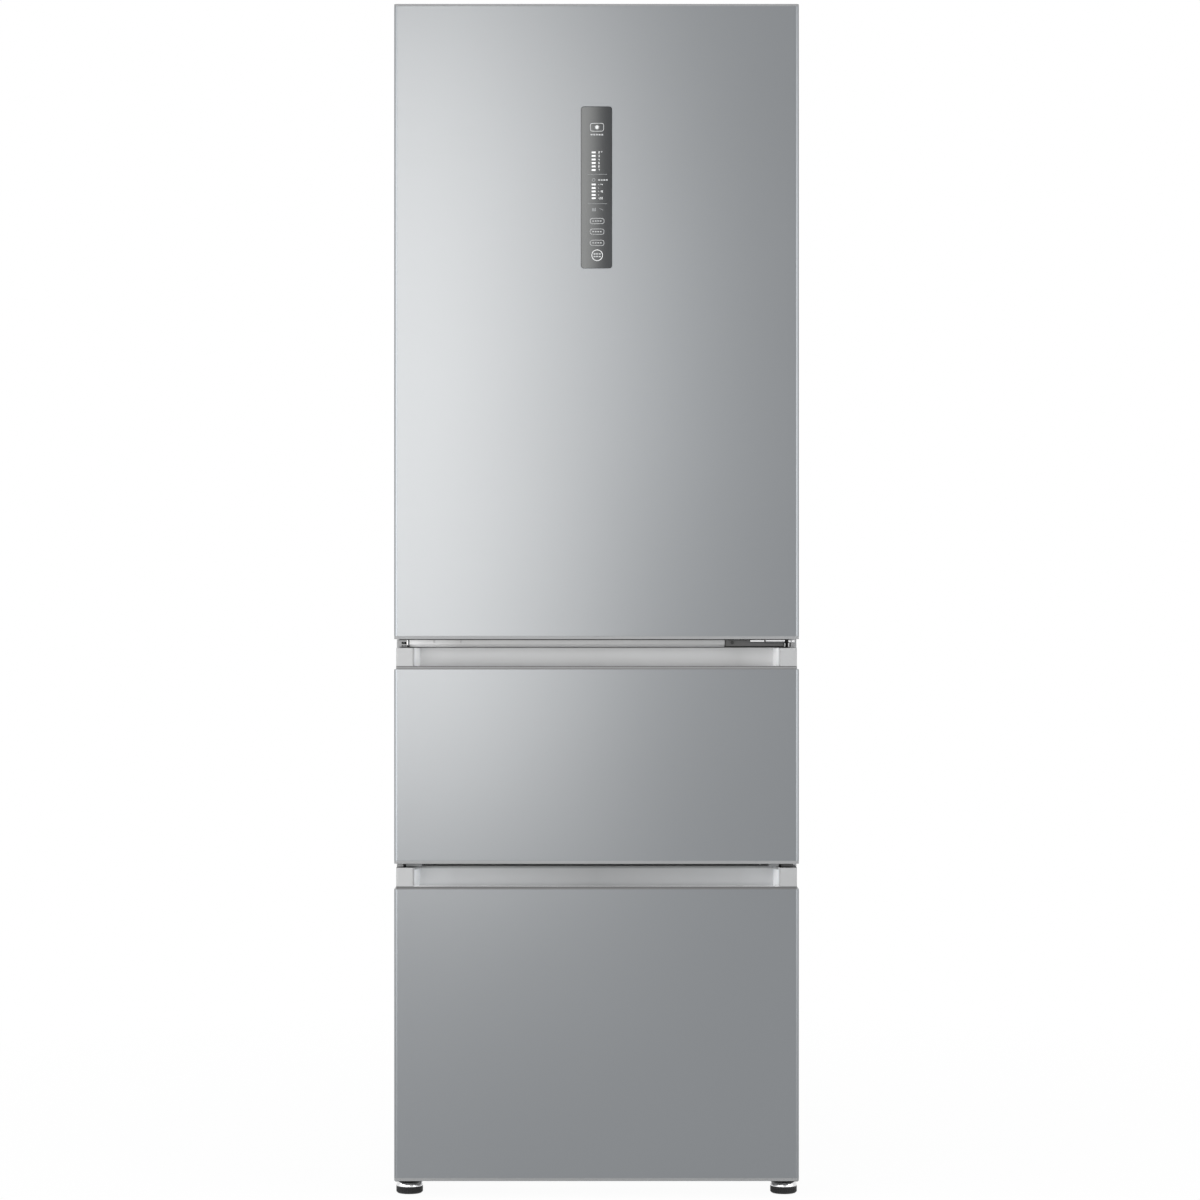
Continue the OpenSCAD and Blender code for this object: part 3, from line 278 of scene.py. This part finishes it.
TRIM = plastic("trim_grey", (0.25, 0.255, 0.26), 0.4)
SLATE = paint("hinge_slate", (0.075, 0.08, 0.085), 0.35)
DOME = steel("foot_dome", (0.75, 0.75, 0.76), 0.16, contrast=0.04, edge=0.0008)
PIN = steel("pin_steel", (0.72, 0.72, 0.73), 0.12)
GREY = plastic("small_grey", (0.45, 0.455, 0.46), 0.35)
SHADE = plastic("gap_end_grey", (0.2, 0.205, 0.21), 0.5)
DARK = plastic("small_dark", (0.06, 0.06, 0.062), 0.5)
HOLE_SHADE = plastic("painted_hole_shade", (0.004, 0.004, 0.004), 0.8)
HOLE_SHADE.give("Specular IOR Level", 0.1)
FOOT = plastic("foot_black", (0.01, 0.01, 0.011), 0.5)
FOOT.give("Specular IOR Level", 0.3)
PRINT = plastic("window_print", (0.93, 0.94, 0.95), 0.4)
MIDDLE_PRINT = plastic("window_print_middle", (0.5, 0.51, 0.52), 0.4)
FAINT = plastic("window_print_faint", (0.3, 0.31, 0.32), 0.4)

# greys by place on one node, in metres, most of them painted light and shade; the ends lie past the sides,
# ahead of the front and behind the back
PLAIN = (1.0, 1.0, 1.0)
SIDE, AHEAD, BACK = 0.3, -0.33, 0.4
# below the lower gap, between the two gaps and above the upper one
LOW_Z, BETWEEN_Z, HIGH_Z = 0.4, 0.65, 0.9
# grips: the painted shadow beside the left cap, the inner ends of the caps and of the end walls, which are
# painted white as a highlight, and the bend
EDGE_X, CAP_X, WALL_X, BEND_X = 0.2712, 0.2687, 0.262, 0.21
CAP_SHADOW, WALL_HIGHLIGHT = 0.86, 1.0
# the lip: its back, and its bands of painted shade below and above its top; past FAR a grey no longer
# changes
LIP_BACK, GRIP_BACK = -0.3225, 0.3
LIP_MID, LIP_DARK, LIP_END, FAR = 0.003, 0.0015, 0.01, 0.1
# greys below the top of a grip, painted shadow from the drawer above, and on it, where the top over the
# recess is painted near black as shadow; the skin counts as the top
TOP_SHADE = ((-0.0045, 1.0), (-0.0025, 0.5), (0.0, 0.28), (FAR, 0.28))
TOP_SHADE_GREYS = ((-SIDE, 0.9), (-WALL_X, 0.07), (WALL_X, 0.9), (SIDE, 0.9))
TOP_SKIN = 0.0002


def grip_look(name, caps, greys, lip_top, lip_shade_greys, top_z=None):
    """Grip plastic with end walls painted white as a highlight, painted shade along the recess from end to
    end and a lip of three dark bands of painted shade.

    A top that the camera sees gets painted shadow, darker towards the back."""
    look = plastic(name, PLAIN, 0.42)
    left_cap, right_cap = caps
    shadow = left_cap * CAP_SHADOW
    far_left, left, middle, right, far_right = greys
    across = look.along("X", [
        (-SIDE, left_cap), (-EDGE_X, left_cap), (-EDGE_X, shadow), (-CAP_X, shadow),
        (-CAP_X, WALL_HIGHLIGHT), (-WALL_X, WALL_HIGHLIGHT),
        (-WALL_X, far_left), (-BEND_X, left), (0.0, middle), (BEND_X, right), (WALL_X, far_right),
        (WALL_X, WALL_HIGHLIGHT), (CAP_X, WALL_HIGHLIGHT),
        (CAP_X, right_cap), (SIDE, right_cap)], "LINEAR")
    dark, mid, low = lip_shade_greys
    lip = look.along("Z", [
        (lip_top - FAR, low), (lip_top - LIP_MID, mid),
        (lip_top - LIP_DARK, dark), (lip_top + LIP_END, dark)])
    above = look.along("Z", [(lip_top - FAR, 0.0), (lip_top, 1.0), (lip_top + FAR, 1.0)])
    behind = look.along("Y", [(AHEAD, 0.0), (LIP_BACK, 1.0), (GRIP_BACK, 1.0)])
    zones = look.mixed("MIX", look.mixed("LIGHTEN", 1.0, above, behind), lip, across)
    if top_z:
        stops = [(top_z + up, grey) for up, grey in TOP_SHADE]
        shade = look.along("Z", [(lip_top, 1.0), *stops], "LINEAR")
        zones = look.mixed("MIX", behind, zones, look.mixed("MULTIPLY", 1.0, zones, shade))
        shaded_tops = look.along("X", TOP_SHADE_GREYS)
        on_top = look.along("Z", [(lip_top, 0.0), (top_z - TOP_SKIN, 1.0), (top_z + FAR, 1.0)])
        zones = look.mixed("MIX", on_top, zones, shaded_tops)
    look.painted_light_and_tone_zones(zones)
    return look


def gap_rows_of_painted_light_and_tone(look, low_row, high_row):
    """Gives the parts in the lower gap one row of greys, and those in the upper gap another; the greys are
    partly painted light and shade.
    """
    is_high = look.along("Z", [(LOW_Z, 0.0), (BETWEEN_Z, 1.0), (HIGH_Z, 1.0)])
    look.painted_light_and_tone_zones(look.mixed("MIX", is_high, low_row, high_row))


# painted light: the left caps are paler than the right ones as more light falls from the left, and the
# recess greys brighten towards its ends
MIDDLE_GRIP = grip_look(
    "middle_grip", caps=(0.39, 0.37), greys=(0.675, 0.59, 0.55, 0.58, 0.8),
    lip_top=0.7806, lip_shade_greys=(0.08, 0.2, 0.15))
LOWER_GRIP = grip_look(
    "lower_grip", caps=(0.383, 0.355), greys=(0.79, 0.616, 0.44, 0.56, 0.69),
    lip_top=0.457, lip_shade_greys=(0.13, 0.085, 0.13), top_z=0.484)
RAIL = plastic("front_rails", PLAIN, 0.25)
# painted light: the rail in the upper gap is paler towards its left end, where the lamps reach into the gap
gap_rows_of_painted_light_and_tone(
    RAIL,
    RAIL.along("X", [(-SIDE, 0.33), (SIDE, 0.33)]),
    RAIL.along("X", [(-SIDE, 0.69), (-0.27, 0.66), (-0.255, 0.52), (-0.2, 0.35), (SIDE, 0.32)], "LINEAR"))
SCREWS = steel("screws", PLAIN, 0.3, contrast=0.08)
SCREWS.painted_light_and_tone_zones(SCREWS.along("Y", [(AHEAD, 0.04), (-0.3, 0.55), (BACK, 0.55)]))
BRACKET = paint("middle_hinge", PLAIN, 0.35)
# painted shadow: the bracket is near black at its left end, for the shadow gap beside the rail
BRACKET.painted_light_and_tone_zones(BRACKET.along("X", [(0.18, 0.008), (0.1905, 0.048), (SIDE, 0.048)]))
BLOCKS = plastic("gap_blocks", PLAIN, 0.5)
gap_rows_of_painted_light_and_tone(
    BLOCKS,
    BLOCKS.along("X", [(-SIDE, 0.33), (0.0, 0.33), (0.0, 0.03), (0.27, 0.03), (0.29, 0.09)], "LINEAR"),
    BLOCKS.along("X", [(-SIDE, 0.28), (0.0, 0.22), (SIDE, 0.22)]))

# the foam is pale grey, as if sealed, where the opening of the cabinet shows it
CABINET_FOAM = foam("cabinet_foam")
at_opening = CABINET_FOAM.along("Y", [(-0.3, 1.0), (-0.24, 0.0), (BACK, 0.0)])
sealed = CABINET_FOAM.along("Y", [(-0.3, 0.55), (BACK, 0.55)])
CABINET_FOAM.give("Base Color", CABINET_FOAM.mixed("MIX", at_opening, CABINET_FOAM.tinted, sealed))

NODE_LOOKS = {
    "cabinet_foam": CABINET_FOAM,
    "door_top_cap": TRIM,
    "door_bottom_cap": TRIM,
    "middle_inner_panel": TRIM,
    "lower_inner_panel": TRIM,
    "front_rails": RAIL,
    "left_foot": FOOT,
    "right_foot": FOOT,
    "middle_hinge": BRACKET,
    "screws": SCREWS,
    "middle_grip": MIDDLE_GRIP,
    "lower_grip": LOWER_GRIP,
    "gap_blocks": BLOCKS,
}
SLOT = {part["node"]: part["material_slot"] for part in frame["record"]["subparts"]}


def dress(obj, look):
    if not obj.data.materials:
        obj.data.materials.append(look.mat)
    for slot in obj.material_slots:
        slot.material = look.mat


for name, obj in NODES.items():
    dress(obj, NODE_LOOKS.get(name) or SLOT_LOOKS[SLOT[name]])

# mesh helpers

PRINT_THICK = 0.05
SHARP_FROM = math.radians(40)


def piece(name, bm, body, look, smooth=False):
    """Makes a mesh into a piece that moves with a body."""
    mesh = bpy.data.meshes.new(name)
    bm.normal_update()
    bm.to_mesh(mesh)
    bm.free()
    obj = bpy.data.objects.new(name, mesh)
    bpy.context.scene.collection.objects.link(obj)
    mesh.materials.append(look.mat)
    if smooth:
        for face in mesh.polygons:
            face.use_smooth = True
        mesh.set_sharp_from_angle(angle=SHARP_FROM)
    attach(obj, body)


def circle(x, y, radius, steps):
    """Points on a circle in any plane, from the right towards the second axis."""
    turns = [2 * math.pi * k / steps for k in range(steps)]
    return [(x + radius * math.cos(turn), y + radius * math.sin(turn)) for turn in turns]


def rounded(x, z, wide, high, corner, steps=8):
    """Outline of a rounded rectangle in the front plane, anticlockwise from the lower right corner."""
    outline = []
    for i, (across, up) in enumerate([(1, -1), (1, 1), (-1, 1), (-1, -1)]):
        middle_x = x + across * (wide / 2 - corner)
        middle_z = z + up * (high / 2 - corner)
        for k in range(steps + 1):
            turn = math.radians(-90 + 90 * i + 90 * k / steps)
            outline.append((middle_x + corner * math.cos(turn), middle_z + corner * math.sin(turn)))
    return outline


def front_face(bm, outline, d, thick=PRINT_THICK):
    """A closed slab that faces the front, as thick as print if nothing else is said."""
    front = [bm.verts.new(point(x, d, z)) for x, z in outline]
    back = [bm.verts.new(point(x, d + thick, z)) for x, z in outline]
    bm.faces.new(front)
    bm.faces.new(list(reversed(back)))
    count = len(outline)
    for i in range(count):
        j = (i + 1) % count
        bm.faces.new([front[j], front[i], back[i], back[j]])


def front_frame(bm, outer, inner, d):
    """A closed printed line between two outlines of the same length."""
    count = len(outer)
    back = d + PRINT_THICK
    rows = []
    for outline, depth in ((outer, d), (inner, d), (inner, back), (outer, back)):
        rows.append([bm.verts.new(point(x, depth, z)) for x, z in outline])
    for a, b in zip(rows, rows[1:] + rows[:1]):
        for i in range(count):
            j = (i + 1) % count
            bm.faces.new([a[i], a[j], b[j], b[i]])


def box(bm, x0, x1, d0, d1, z0, z1, round_by):
    """A small moulded block; the bevel takes all edges in the mesh, those of earlier blocks too."""
    made = bmesh.ops.create_cube(bm, size=1.0)["verts"]
    centre = (point(x0, d0, z0) + point(x1, d1, z1)) / 2
    sizes = (x1 - x0, d1 - d0, z1 - z0)
    for vert in made:
        vert.co = Vector([along * size * MM for along, size in zip(vert.co, sizes)]) + centre
    bmesh.ops.bevel(bm, geom=bm.edges[:], offset=round_by * MM, segments=2, affect="EDGES", profile=0.5)


def blocks(name, look, round_by, *boxes):
    """One piece of the cabinet from small blocks: x0, x1, d0, d1, z0 and z1 of each."""
    bm = bmesh.new()
    for ends in boxes:
        box(bm, *ends, round_by)
    piece(name, bm, "cabinet", look)


def lathe(bm, x, d, z0, profile, steps):
    """A closed turned shape about a vertical axis, from (radius, height) pairs."""
    rows = []
    for radius, height in profile:
        if radius == 0:
            rows.append([bm.verts.new(point(x, d, z0 + height))])
            continue
        ring = circle(x, d, radius, steps)
        rows.append([bm.verts.new(point(ring_x, ring_d, z0 + height)) for ring_x, ring_d in ring])
    for a, b in zip(rows, rows[1:]):
        for i in range(steps):
            j = (i + 1) % steps
            if len(a) == 1 and len(b) > 1:
                bm.faces.new([a[0], b[j], b[i]])
            elif len(b) == 1 and len(a) > 1:
                bm.faces.new([a[i], a[j], b[0]])
            elif len(a) > 1:
                bm.faces.new([a[i], a[j], b[j], b[i]])


def turned(name, body, look, x, d, z0, profile, steps=40):
    """One turned piece with an upright axis."""
    bm = bmesh.new()
    lathe(bm, x, d, z0, profile, steps)
    piece(name, bm, body, look, smooth=True)


# display, in millimetres

WINDOW_FACE = 0.2
PRINT_D = WINDOW_FACE - 0.04
SEGMENTS = {1: "bc", 2: "abged", 3: "abgcd", 4: "fgbc", 5: "afgcd", 6: "afgedc", 7: "abc", 8: "abcdefg"}
DIGIT_W, DIGIT_H, STROKE = 1.9, 3.0, 0.5


def slab(bm, x0, x1, z0, z1, d=PRINT_D, thick=PRINT_THICK):
    front_face(bm, [(x0, z0), (x1, z0), (x1, z1), (x0, z1)], d, thick)


def dash(bm, x0, x1, z, half):
    """A printed bar about a height."""
    slab(bm, x0, x1, z - half, z + half)


def dashes(bm, count, x0, x1, pitch, z, half):
    """Printed bars side by side, the first from x0 to x1."""
    for i in range(count):
        dash(bm, x0 + pitch * i, x1 + pitch * i, z, half)


def digit(bm, number, x, row_z):
    """A seven segment digit with its left edge at x, about the height of its row."""
    z = row_z - DIGIT_H / 2
    right, top = x + DIGIT_W, z + DIGIT_H
    bar_low, bar_high = z + DIGIT_H / 2 - STROKE / 2, z + DIGIT_H / 2 + STROKE / 2
    spots = {
        "a": (x, right, top - STROKE, top),
        "b": (right - STROKE, right, bar_high, top - STROKE),
        "c": (right - STROKE, right, z + STROKE, bar_low),
        "d": (x, right, z, z + STROKE),
        "e": (x, x + STROKE, z + STROKE, bar_low),
        "f": (x, x + STROKE, bar_high, top - STROKE),
        "g": (x, right, bar_low, bar_high),
    }
    for key in SEGMENTS[number]:
        slab(bm, *spots[key])


def line_round(bm, x, z, wide, high, corner, line):
    """A printed line round a rounded rectangle."""
    inner = rounded(x, z, wide - 2 * line, high - 2 * line, max(0.3, corner - line))
    front_frame(bm, rounded(x, z, wide, high, corner), inner, PRINT_D)


def star(bm, x, z, arm, half):
    """Four crossed bars, each a hair in front of the one before."""
    bar = [(-arm, -half), (arm, -half), (arm, half), (-arm, half)]
    for k in range(4):
        turn = math.radians(22.5 + 45 * k)
        c, s = math.cos(turn), math.sin(turn)
        front_face(bm, [(x + u * c - v * s, z + u * s + v * c) for u, v in bar], PRINT_D - 0.01 * k)


# heights of the printed rows above the floor, in millimetres
ICON_Z, MARK_Z = 1571.9, 1561.0
FRIDGE_ROWS = (1535.0, 1529.8, 1524.5, 1519.4, 1514.4, 1509.1)
LINE_1_Z, HEADER_Z = 1502.8, 1494.5
FREEZER_ROWS = (1487.8, 1482.7, 1477.7, 1472.5, 1467.7)
LINE_2_Z, SMALL_Z = 1459.7, 1450.9
PILLS = (1434.2, 1418.6, 1402.1)
RING_Z = 1383.9

# the two scales: their bars, the digits of the fridge, the minus sign and the digits of the freezer
SCALE_BAR, BAR_HALF = (-7.1, -1.4), 1.25
FRIDGE_FIRST, FRIDGE_DIGIT_X = 2, 2.6
MINUS, MINUS_HALF = (2.3, 3.6), 0.25
FREEZER_DIGITS, FREEZER_DIGIT_X = {0: (1, 4), 2: (1, 8), 4: (2, 2)}, (4.4, 7.2)


def bright_marks():
    bm = bmesh.new()
    line_round(bm, 0.7, ICON_Z, wide=20.0, high=12.0, corner=3.4, line=0.5)
    star(bm, 0.7, ICON_Z, arm=3.2, half=0.5)
    for i, z in enumerate(FRIDGE_ROWS):
        dash(bm, *SCALE_BAR, z, BAR_HALF)
        digit(bm, FRIDGE_FIRST + i, FRIDGE_DIGIT_X, z)
    line_round(bm, 7.6, FRIDGE_ROWS[0] + 1.0, wide=1.7, high=1.7, corner=0.8, line=0.5)
    for i, z in enumerate(FREEZER_ROWS):
        dash(bm, *SCALE_BAR, z, BAR_HALF)
        dash(bm, *MINUS, z, MINUS_HALF)
        for number, x in zip(FREEZER_DIGITS.get(i, ()), FREEZER_DIGIT_X):
            digit(bm, number, x, z)
    line_round(bm, 0.9, RING_Z, wide=16.6, high=16.6, corner=8.3, line=0.85)
    return bm


def middle_marks():
    bm = bmesh.new()
    dashes(bm, 5, -8.6, -5.9, pitch=3.9, z=MARK_Z, half=1.1)
    dashes(bm, 4, 2.4, 5.0, pitch=3.8, z=HEADER_Z, half=1.0)
    for z in PILLS:
        line_round(bm, 0.8, z, wide=21.0, high=8.6, corner=3.6, line=0.7)
        dashes(bm, 4, -6.2, -3.7, pitch=3.7, z=z, half=0.7)
    for z in (RING_Z - 1.9, RING_Z + 1.9):
        dashes(bm, 3, -4.4, -1.6, pitch=3.8, z=z, half=0.9)
    return bm


def faint_marks():
    bm = bmesh.new()
    for z in (LINE_1_Z, LINE_2_Z):
        dash(bm, -12.8, 15.4, z, 0.3)
    line_round(bm, -4.3, HEADER_Z, wide=5.0, high=4.6, corner=1.6, line=0.8)
    for i in range(3):
        dash(bm, -6.6 + 2.1 * i, -5.3 + 2.1 * i, SMALL_Z, 2.4)
        slab(bm, 4.4 + 2.0 * i, 5.6 + 2.0 * i, SMALL_Z + 0.9 - 0.9 * i, SMALL_Z + 2.0 - 0.9 * i)
    return bm


piece("display_marks", bright_marks(), "fridge_door", PRINT)
piece("display_middle_marks", middle_marks(), "fridge_door", MIDDLE_PRINT)
piece("display_faint_marks", faint_marks(), "fridge_door", FAINT)

# feet and pin, turned about the axes of their joints

DOME_PROFILE = [
    (0, 10.4), (19.5, 10.4), (19.65, 10.8), (19.6, 11.6), (19.0, 13.6), (18.2, 15.6), (17.5, 16.9),
    (17.0, 17.35), (16.4, 17.45), (6.0, 17.45), (6.0, 17.3), (0, 17.3)]
SLEEVE_Z, SLEEVE_PROFILE = 812.6, [(0, 0.0), (4.35, 0.0), (4.5, 0.3), (4.5, 4.6), (4.2, 4.8), (0, 4.8)]
COLLAR_Z, COLLAR_PROFILE = 817.5, [(0, 0.0), (4.6, 0.0), (4.7, 0.2), (4.7, 1.9), (4.5, 2.1), (0, 2.1)]
for side in ("left", "right"):
    foot_x, foot_d = axis_place(side + "_foot_turn")
    turned(side + "_foot_dome", side + "_foot_body", DOME, foot_x, foot_d, 0.0, DOME_PROFILE, steps=64)
pin_x, pin_d = axis_place("door_hinge")
turned("hinge_pin_sleeve", "cabinet", DARK, pin_x, pin_d, SLEEVE_Z, SLEEVE_PROFILE)
turned("hinge_pin_collar", "cabinet", DARK, pin_x, pin_d, COLLAR_Z, COLLAR_PROFILE)

# ends of the divider in the upper gap, and of the lower gap

END_X, GAP_D, GAP_Z = -278.2, (12.0, 40.0), 484.9
blocks("rail_end_cap", PIN, 0.2, (END_X - 1.0, END_X, 11.0, 60.0, 811.0, 818.4))
# painted shade: the lip is a dark strip for the shadow line beside the end of the divider
blocks("rail_end_lip", SHADE, 0.2, (END_X, -276.0, 11.2, 60.0, 810.5, 819.0))
blocks(
    "drawer_gap_ends", SHADE, 0.3,
    (-281.0, -257.0, *GAP_D, GAP_Z, 489.1), (254.0, 268.6, *GAP_D, GAP_Z, 489.0))

# blanked hinge seat on the left: two holes as black discs and two slits below them as black bars on the
# block's face, their black painted shade for the depth

BLOCK_FACE, HOLE_DEEP = 9.95, 0.8
HOLE_Z, HOLES = 814.2, ((-285.5, 1.6), (-281.4, 1.9))
SLIT_Z, SLITS = (809.6, 810.7), ((-286.6, -284.0), (-283.0, -280.2))
plugs = bmesh.new()
for x, radius in HOLES:
    front_face(plugs, circle(x, HOLE_Z, radius, 16), BLOCK_FACE, HOLE_DEEP)
for x0, x1 in SLITS:
    slab(plugs, x0, x1, *SLIT_Z, BLOCK_FACE, HOLE_DEEP)
piece("gap_block_plugs", plugs, "cabinet", HOLE_SHADE)

# hinge bracket on the right: a bright strip and a dark bar show through its slot, a grey clip with a
# black slot closes its end, and two bright caps with a grey bridge stand on the end stop; the black slot is
# a block of painted shade for its depth

BRACKET_FRONT = 12.0
SLOT_LEFT = 226.5
BACKING_BACK = BRACKET_FRONT + 4.8
CLIP_D, CLIP_Z = (BRACKET_FRONT - 3.0, BRACKET_FRONT + 0.8), (808.3, 814.4)
CLIP_IN, CLIP_OUT = 278.0, 281.9
CAPS_D, CAPS_Z = (BRACKET_FRONT - 1.8, BRACKET_FRONT + 3.0), (815.0, 818.6)
BRIDGE_LEFT, BRIDGE_RIGHT = 285.7, 288.5
blocks(
    "bracket_backing_strip", PIN, 0.2,
    (SLOT_LEFT, 247.2, BRACKET_FRONT + 3.6, BACKING_BACK, 815.6, 818.8),
    (249.2, 277.4, BRACKET_FRONT + 3.6, BACKING_BACK, 816.2, 818.8))
blocks(
    "bracket_backing_bar", SLATE, 0.2,
    (SLOT_LEFT, 277.0, BRACKET_FRONT + 3.8, BACKING_BACK, 813.2, 816.0))
blocks(
    "bracket_end_clip", GREY, 0.25,
    (276.2, CLIP_IN, *CLIP_D, *CLIP_Z), (CLIP_OUT, 283.8, *CLIP_D, *CLIP_Z))
blocks(
    "end_stop_caps", PIN, 0.2,
    (282.4, BRIDGE_LEFT, *CAPS_D, *CAPS_Z), (BRIDGE_RIGHT, 291.3, *CAPS_D, *CAPS_Z))
blocks(
    "end_stop_bridge", GREY, 0.2,
    (BRIDGE_LEFT, BRIDGE_RIGHT, BRACKET_FRONT - 1.6, BRACKET_FRONT + 3.0, 815.0, 818.4))
blocks(
    "bracket_end_slot", HOLE_SHADE, 0.1,
    (CLIP_IN, CLIP_OUT, BRACKET_FRONT - 1.5, BRACKET_FRONT + 0.8, 808.4, 814.2))

# camera, in metres

CAM_DISTANCE = 5.0
CAM_X, CAM_Z = 0.00507, 0.8775
VIEW_WIDTH = 1.7626
cam = bpy.data.cameras.new("camera")
cam.sensor_fit = "HORIZONTAL"
cam.angle = 2 * math.atan(VIEW_WIDTH / 2 / CAM_DISTANCE)
cam.clip_end = 50
eye = bpy.data.objects.new("camera", cam)
eye.location = (CAM_X, -HALF_DEPTH * MM - CAM_DISTANCE, CAM_Z)
eye.rotation_euler = (math.radians(90), 0, 0)
bpy.context.scene.collection.objects.link(eye)
bpy.context.scene.camera = eye

# lamps, in metres

NEUTRAL, WARM = (1, 1, 1), (1.0, 0.962, 0.915)


def area(name, place, aim, size, power, color=NEUTRAL):
    """A rectangular lamp that the camera doesn't see."""
    light = bpy.data.lights.new(name, "AREA")
    light.shape = "RECTANGLE"
    light.size, light.size_y = size
    light.energy = power
    light.color = color
    obj = bpy.data.objects.new(name, light)
    obj.location = place
    obj.rotation_euler = (Vector(aim) - Vector(place)).to_track_quat("-Z", "Y").to_euler()
    obj.visible_camera = False
    bpy.context.scene.collection.objects.link(obj)


def panel(name, x0, x1, y, z0, z1, strength, color=NEUTRAL):
    """A lamp that faces the fronts squarely; strength 1 is as bright as the white backdrop."""
    wide, high = x1 - x0, z1 - z0
    x, z = (x0 + x1) / 2, (z0 + z1) / 2
    area(name, (x, y, z), (x, 0.0, z), (wide, high), strength * math.pi * wide * high, color)


# a panel before the fronts fades out to the right, and narrow strips at its edge give the window its
# gradient: left edge, right edge and strength of each
PANEL_Y, PANEL_LOW, PANEL_HIGH = -2.93, 0.42, 2.29
FADE = ((-0.7, -0.28, 3.55), (-0.28, -0.15, 2.1), (-0.15, -0.042, 1.7), (-0.042, -0.011, 3.0))
STRIP_Y, STRIP_LOW, STRIP_HIGH = PANEL_Y + 0.01, 1.5, 2.1
STRIPS = (
    (-0.042, -0.027, 2.1), (-0.027, -0.021, 1.0), (-0.021, -0.014, 0.5), (-0.011, -0.004, 2.6),
    (-0.004, 0.001, 1.8), (0.001, 0.006, 1.15), (0.006, 0.012, 0.5), (0.012, 0.018, 0.2))
for i, (x0, x1, strength) in enumerate(FADE):
    panel("panel_%d" % i, x0, x1, PANEL_Y, PANEL_LOW, PANEL_HIGH, strength, WARM)
for i, (x0, x1, strength) in enumerate(STRIPS):
    panel("edge_strip_%d" % i, x0, x1, STRIP_Y, STRIP_LOW, STRIP_HIGH, strength, WARM)
panel("faint_panel", 0.04, 0.2, PANEL_Y, 1.05, 1.75, strength=1.1)

# softboxes aim at the front corners: x, y, corner, width and power of each
SOFT_Z, SOFT_HIGH, AIM_Z = 1.15, 2.0, 1.1
SOFTBOXES = {
    "left_front": (-1.735, -2.5, -SIDE, 1.74, 34),
    "left_side": (-2.7, -1.02, -SIDE, 1.7, 16),
    "right_front": (1.8, -2.33, SIDE, 1.15, 17),
    "right_side": (2.6, -1.31, SIDE, 1.53, 14.5),
}
for name, (x, y, corner_x, wide, power) in SOFTBOXES.items():
    area(name, (x, y, SOFT_Z), (corner_x, AHEAD, AIM_Z), (wide, SOFT_HIGH), power)

# backdrop and floor

WHITE = (1, 1, 1, 1)
# places from ahead of the part (0) to behind it (1), and the greys that light the part from there
SKY_GREYS = ((0.12, (0.25, 0.253, 0.256, 1)), (0.42, (0.85, 0.86, 0.87, 1)))


def studio_world():
    """White where it is seen, and otherwise a grey that is darker ahead of the part."""
    world = bpy.data.worlds.new("studio")
    world.use_nodes = True
    tree = world.node_tree
    tree.nodes.clear()
    coords = add_node(tree, "TexCoord")
    split = add_node(tree, "SeparateXYZ", {"Vector": coords.outputs["Generated"]})
    depth = add_node(tree, "MapRange", {"Value": split.outputs["Y"], "From Min": -1.0, "From Max": 1.0})
    ramp = add_node(tree, "ValToRGB", {"Fac": depth.outputs["Result"]})
    for element, (place, grey) in zip(ramp.color_ramp.elements, SKY_GREYS):
        element.position = place
        element.color = grey
    inputs = {"Factor": seen_directly(tree), "A": ramp.outputs["Color"], "B": WHITE}
    mix = add_node(tree, "Mix", inputs, data_type="RGBA")
    background = add_node(tree, "Background", {"Color": mix.outputs["Result"]})
    add_node(tree, "OutputWorld", {"Surface": background.outputs["Background"]})
    return world


FLOOR_REACH = 9.0
FLOOR_GREY = (0.85, 0.85, 0.85, 1)
# the floor is a touch darker within the first distance from the middle, and white from the second on
FLOOR_FADE, FLOOR_NEAR = (0.5, 2.0), 0.96


def floor_material():
    """White like the backdrop where it is seen, and otherwise a pale, matt grey."""
    material = bpy.data.materials.new("floor_pale")
    material.use_nodes = True
    tree = material.node_tree
    tree.nodes.clear()
    coords = add_node(tree, "TexCoord")
    away = add_node(tree, "VectorMath", {0: coords.outputs["Object"]}, operation="LENGTH")
    fade = add_node(tree, "MapRange", {
        "Value": away.outputs["Value"], "From Min": FLOOR_FADE[0], "From Max": FLOOR_FADE[1],
        "To Min": FLOOR_NEAR, "To Max": 1.0})
    inputs = {0: seen_directly(tree), 1: fade.outputs["Result"]}
    share = add_node(tree, "Math", inputs, operation="MULTIPLY")
    matt = add_node(tree, "BsdfDiffuse", {"Color": FLOOR_GREY})
    glow = add_node(tree, "Emission")
    inputs = {"Fac": share.outputs[0], 1: matt.outputs["BSDF"], 2: glow.outputs["Emission"]}
    add_node(tree, "OutputMaterial", {"Surface": add_node(tree, "MixShader", inputs).outputs["Shader"]})
    return material


def floor_sheet():
    mesh = bpy.data.meshes.new("floor")
    bm = bmesh.new()
    corners = ((-1, -1), (1, -1), (1, 1), (-1, 1))
    bm.faces.new([bm.verts.new((x * FLOOR_REACH, y * FLOOR_REACH, 0.0)) for x, y in corners])
    bm.to_mesh(mesh)
    bm.free()
    floor = bpy.data.objects.new("floor", mesh)
    bpy.context.scene.collection.objects.link(floor)
    mesh.materials.append(floor_material())
    return floor


bpy.context.scene.world = studio_world()
floor = floor_sheet()

bpy.context.scene.view_settings.view_transform = "Standard"
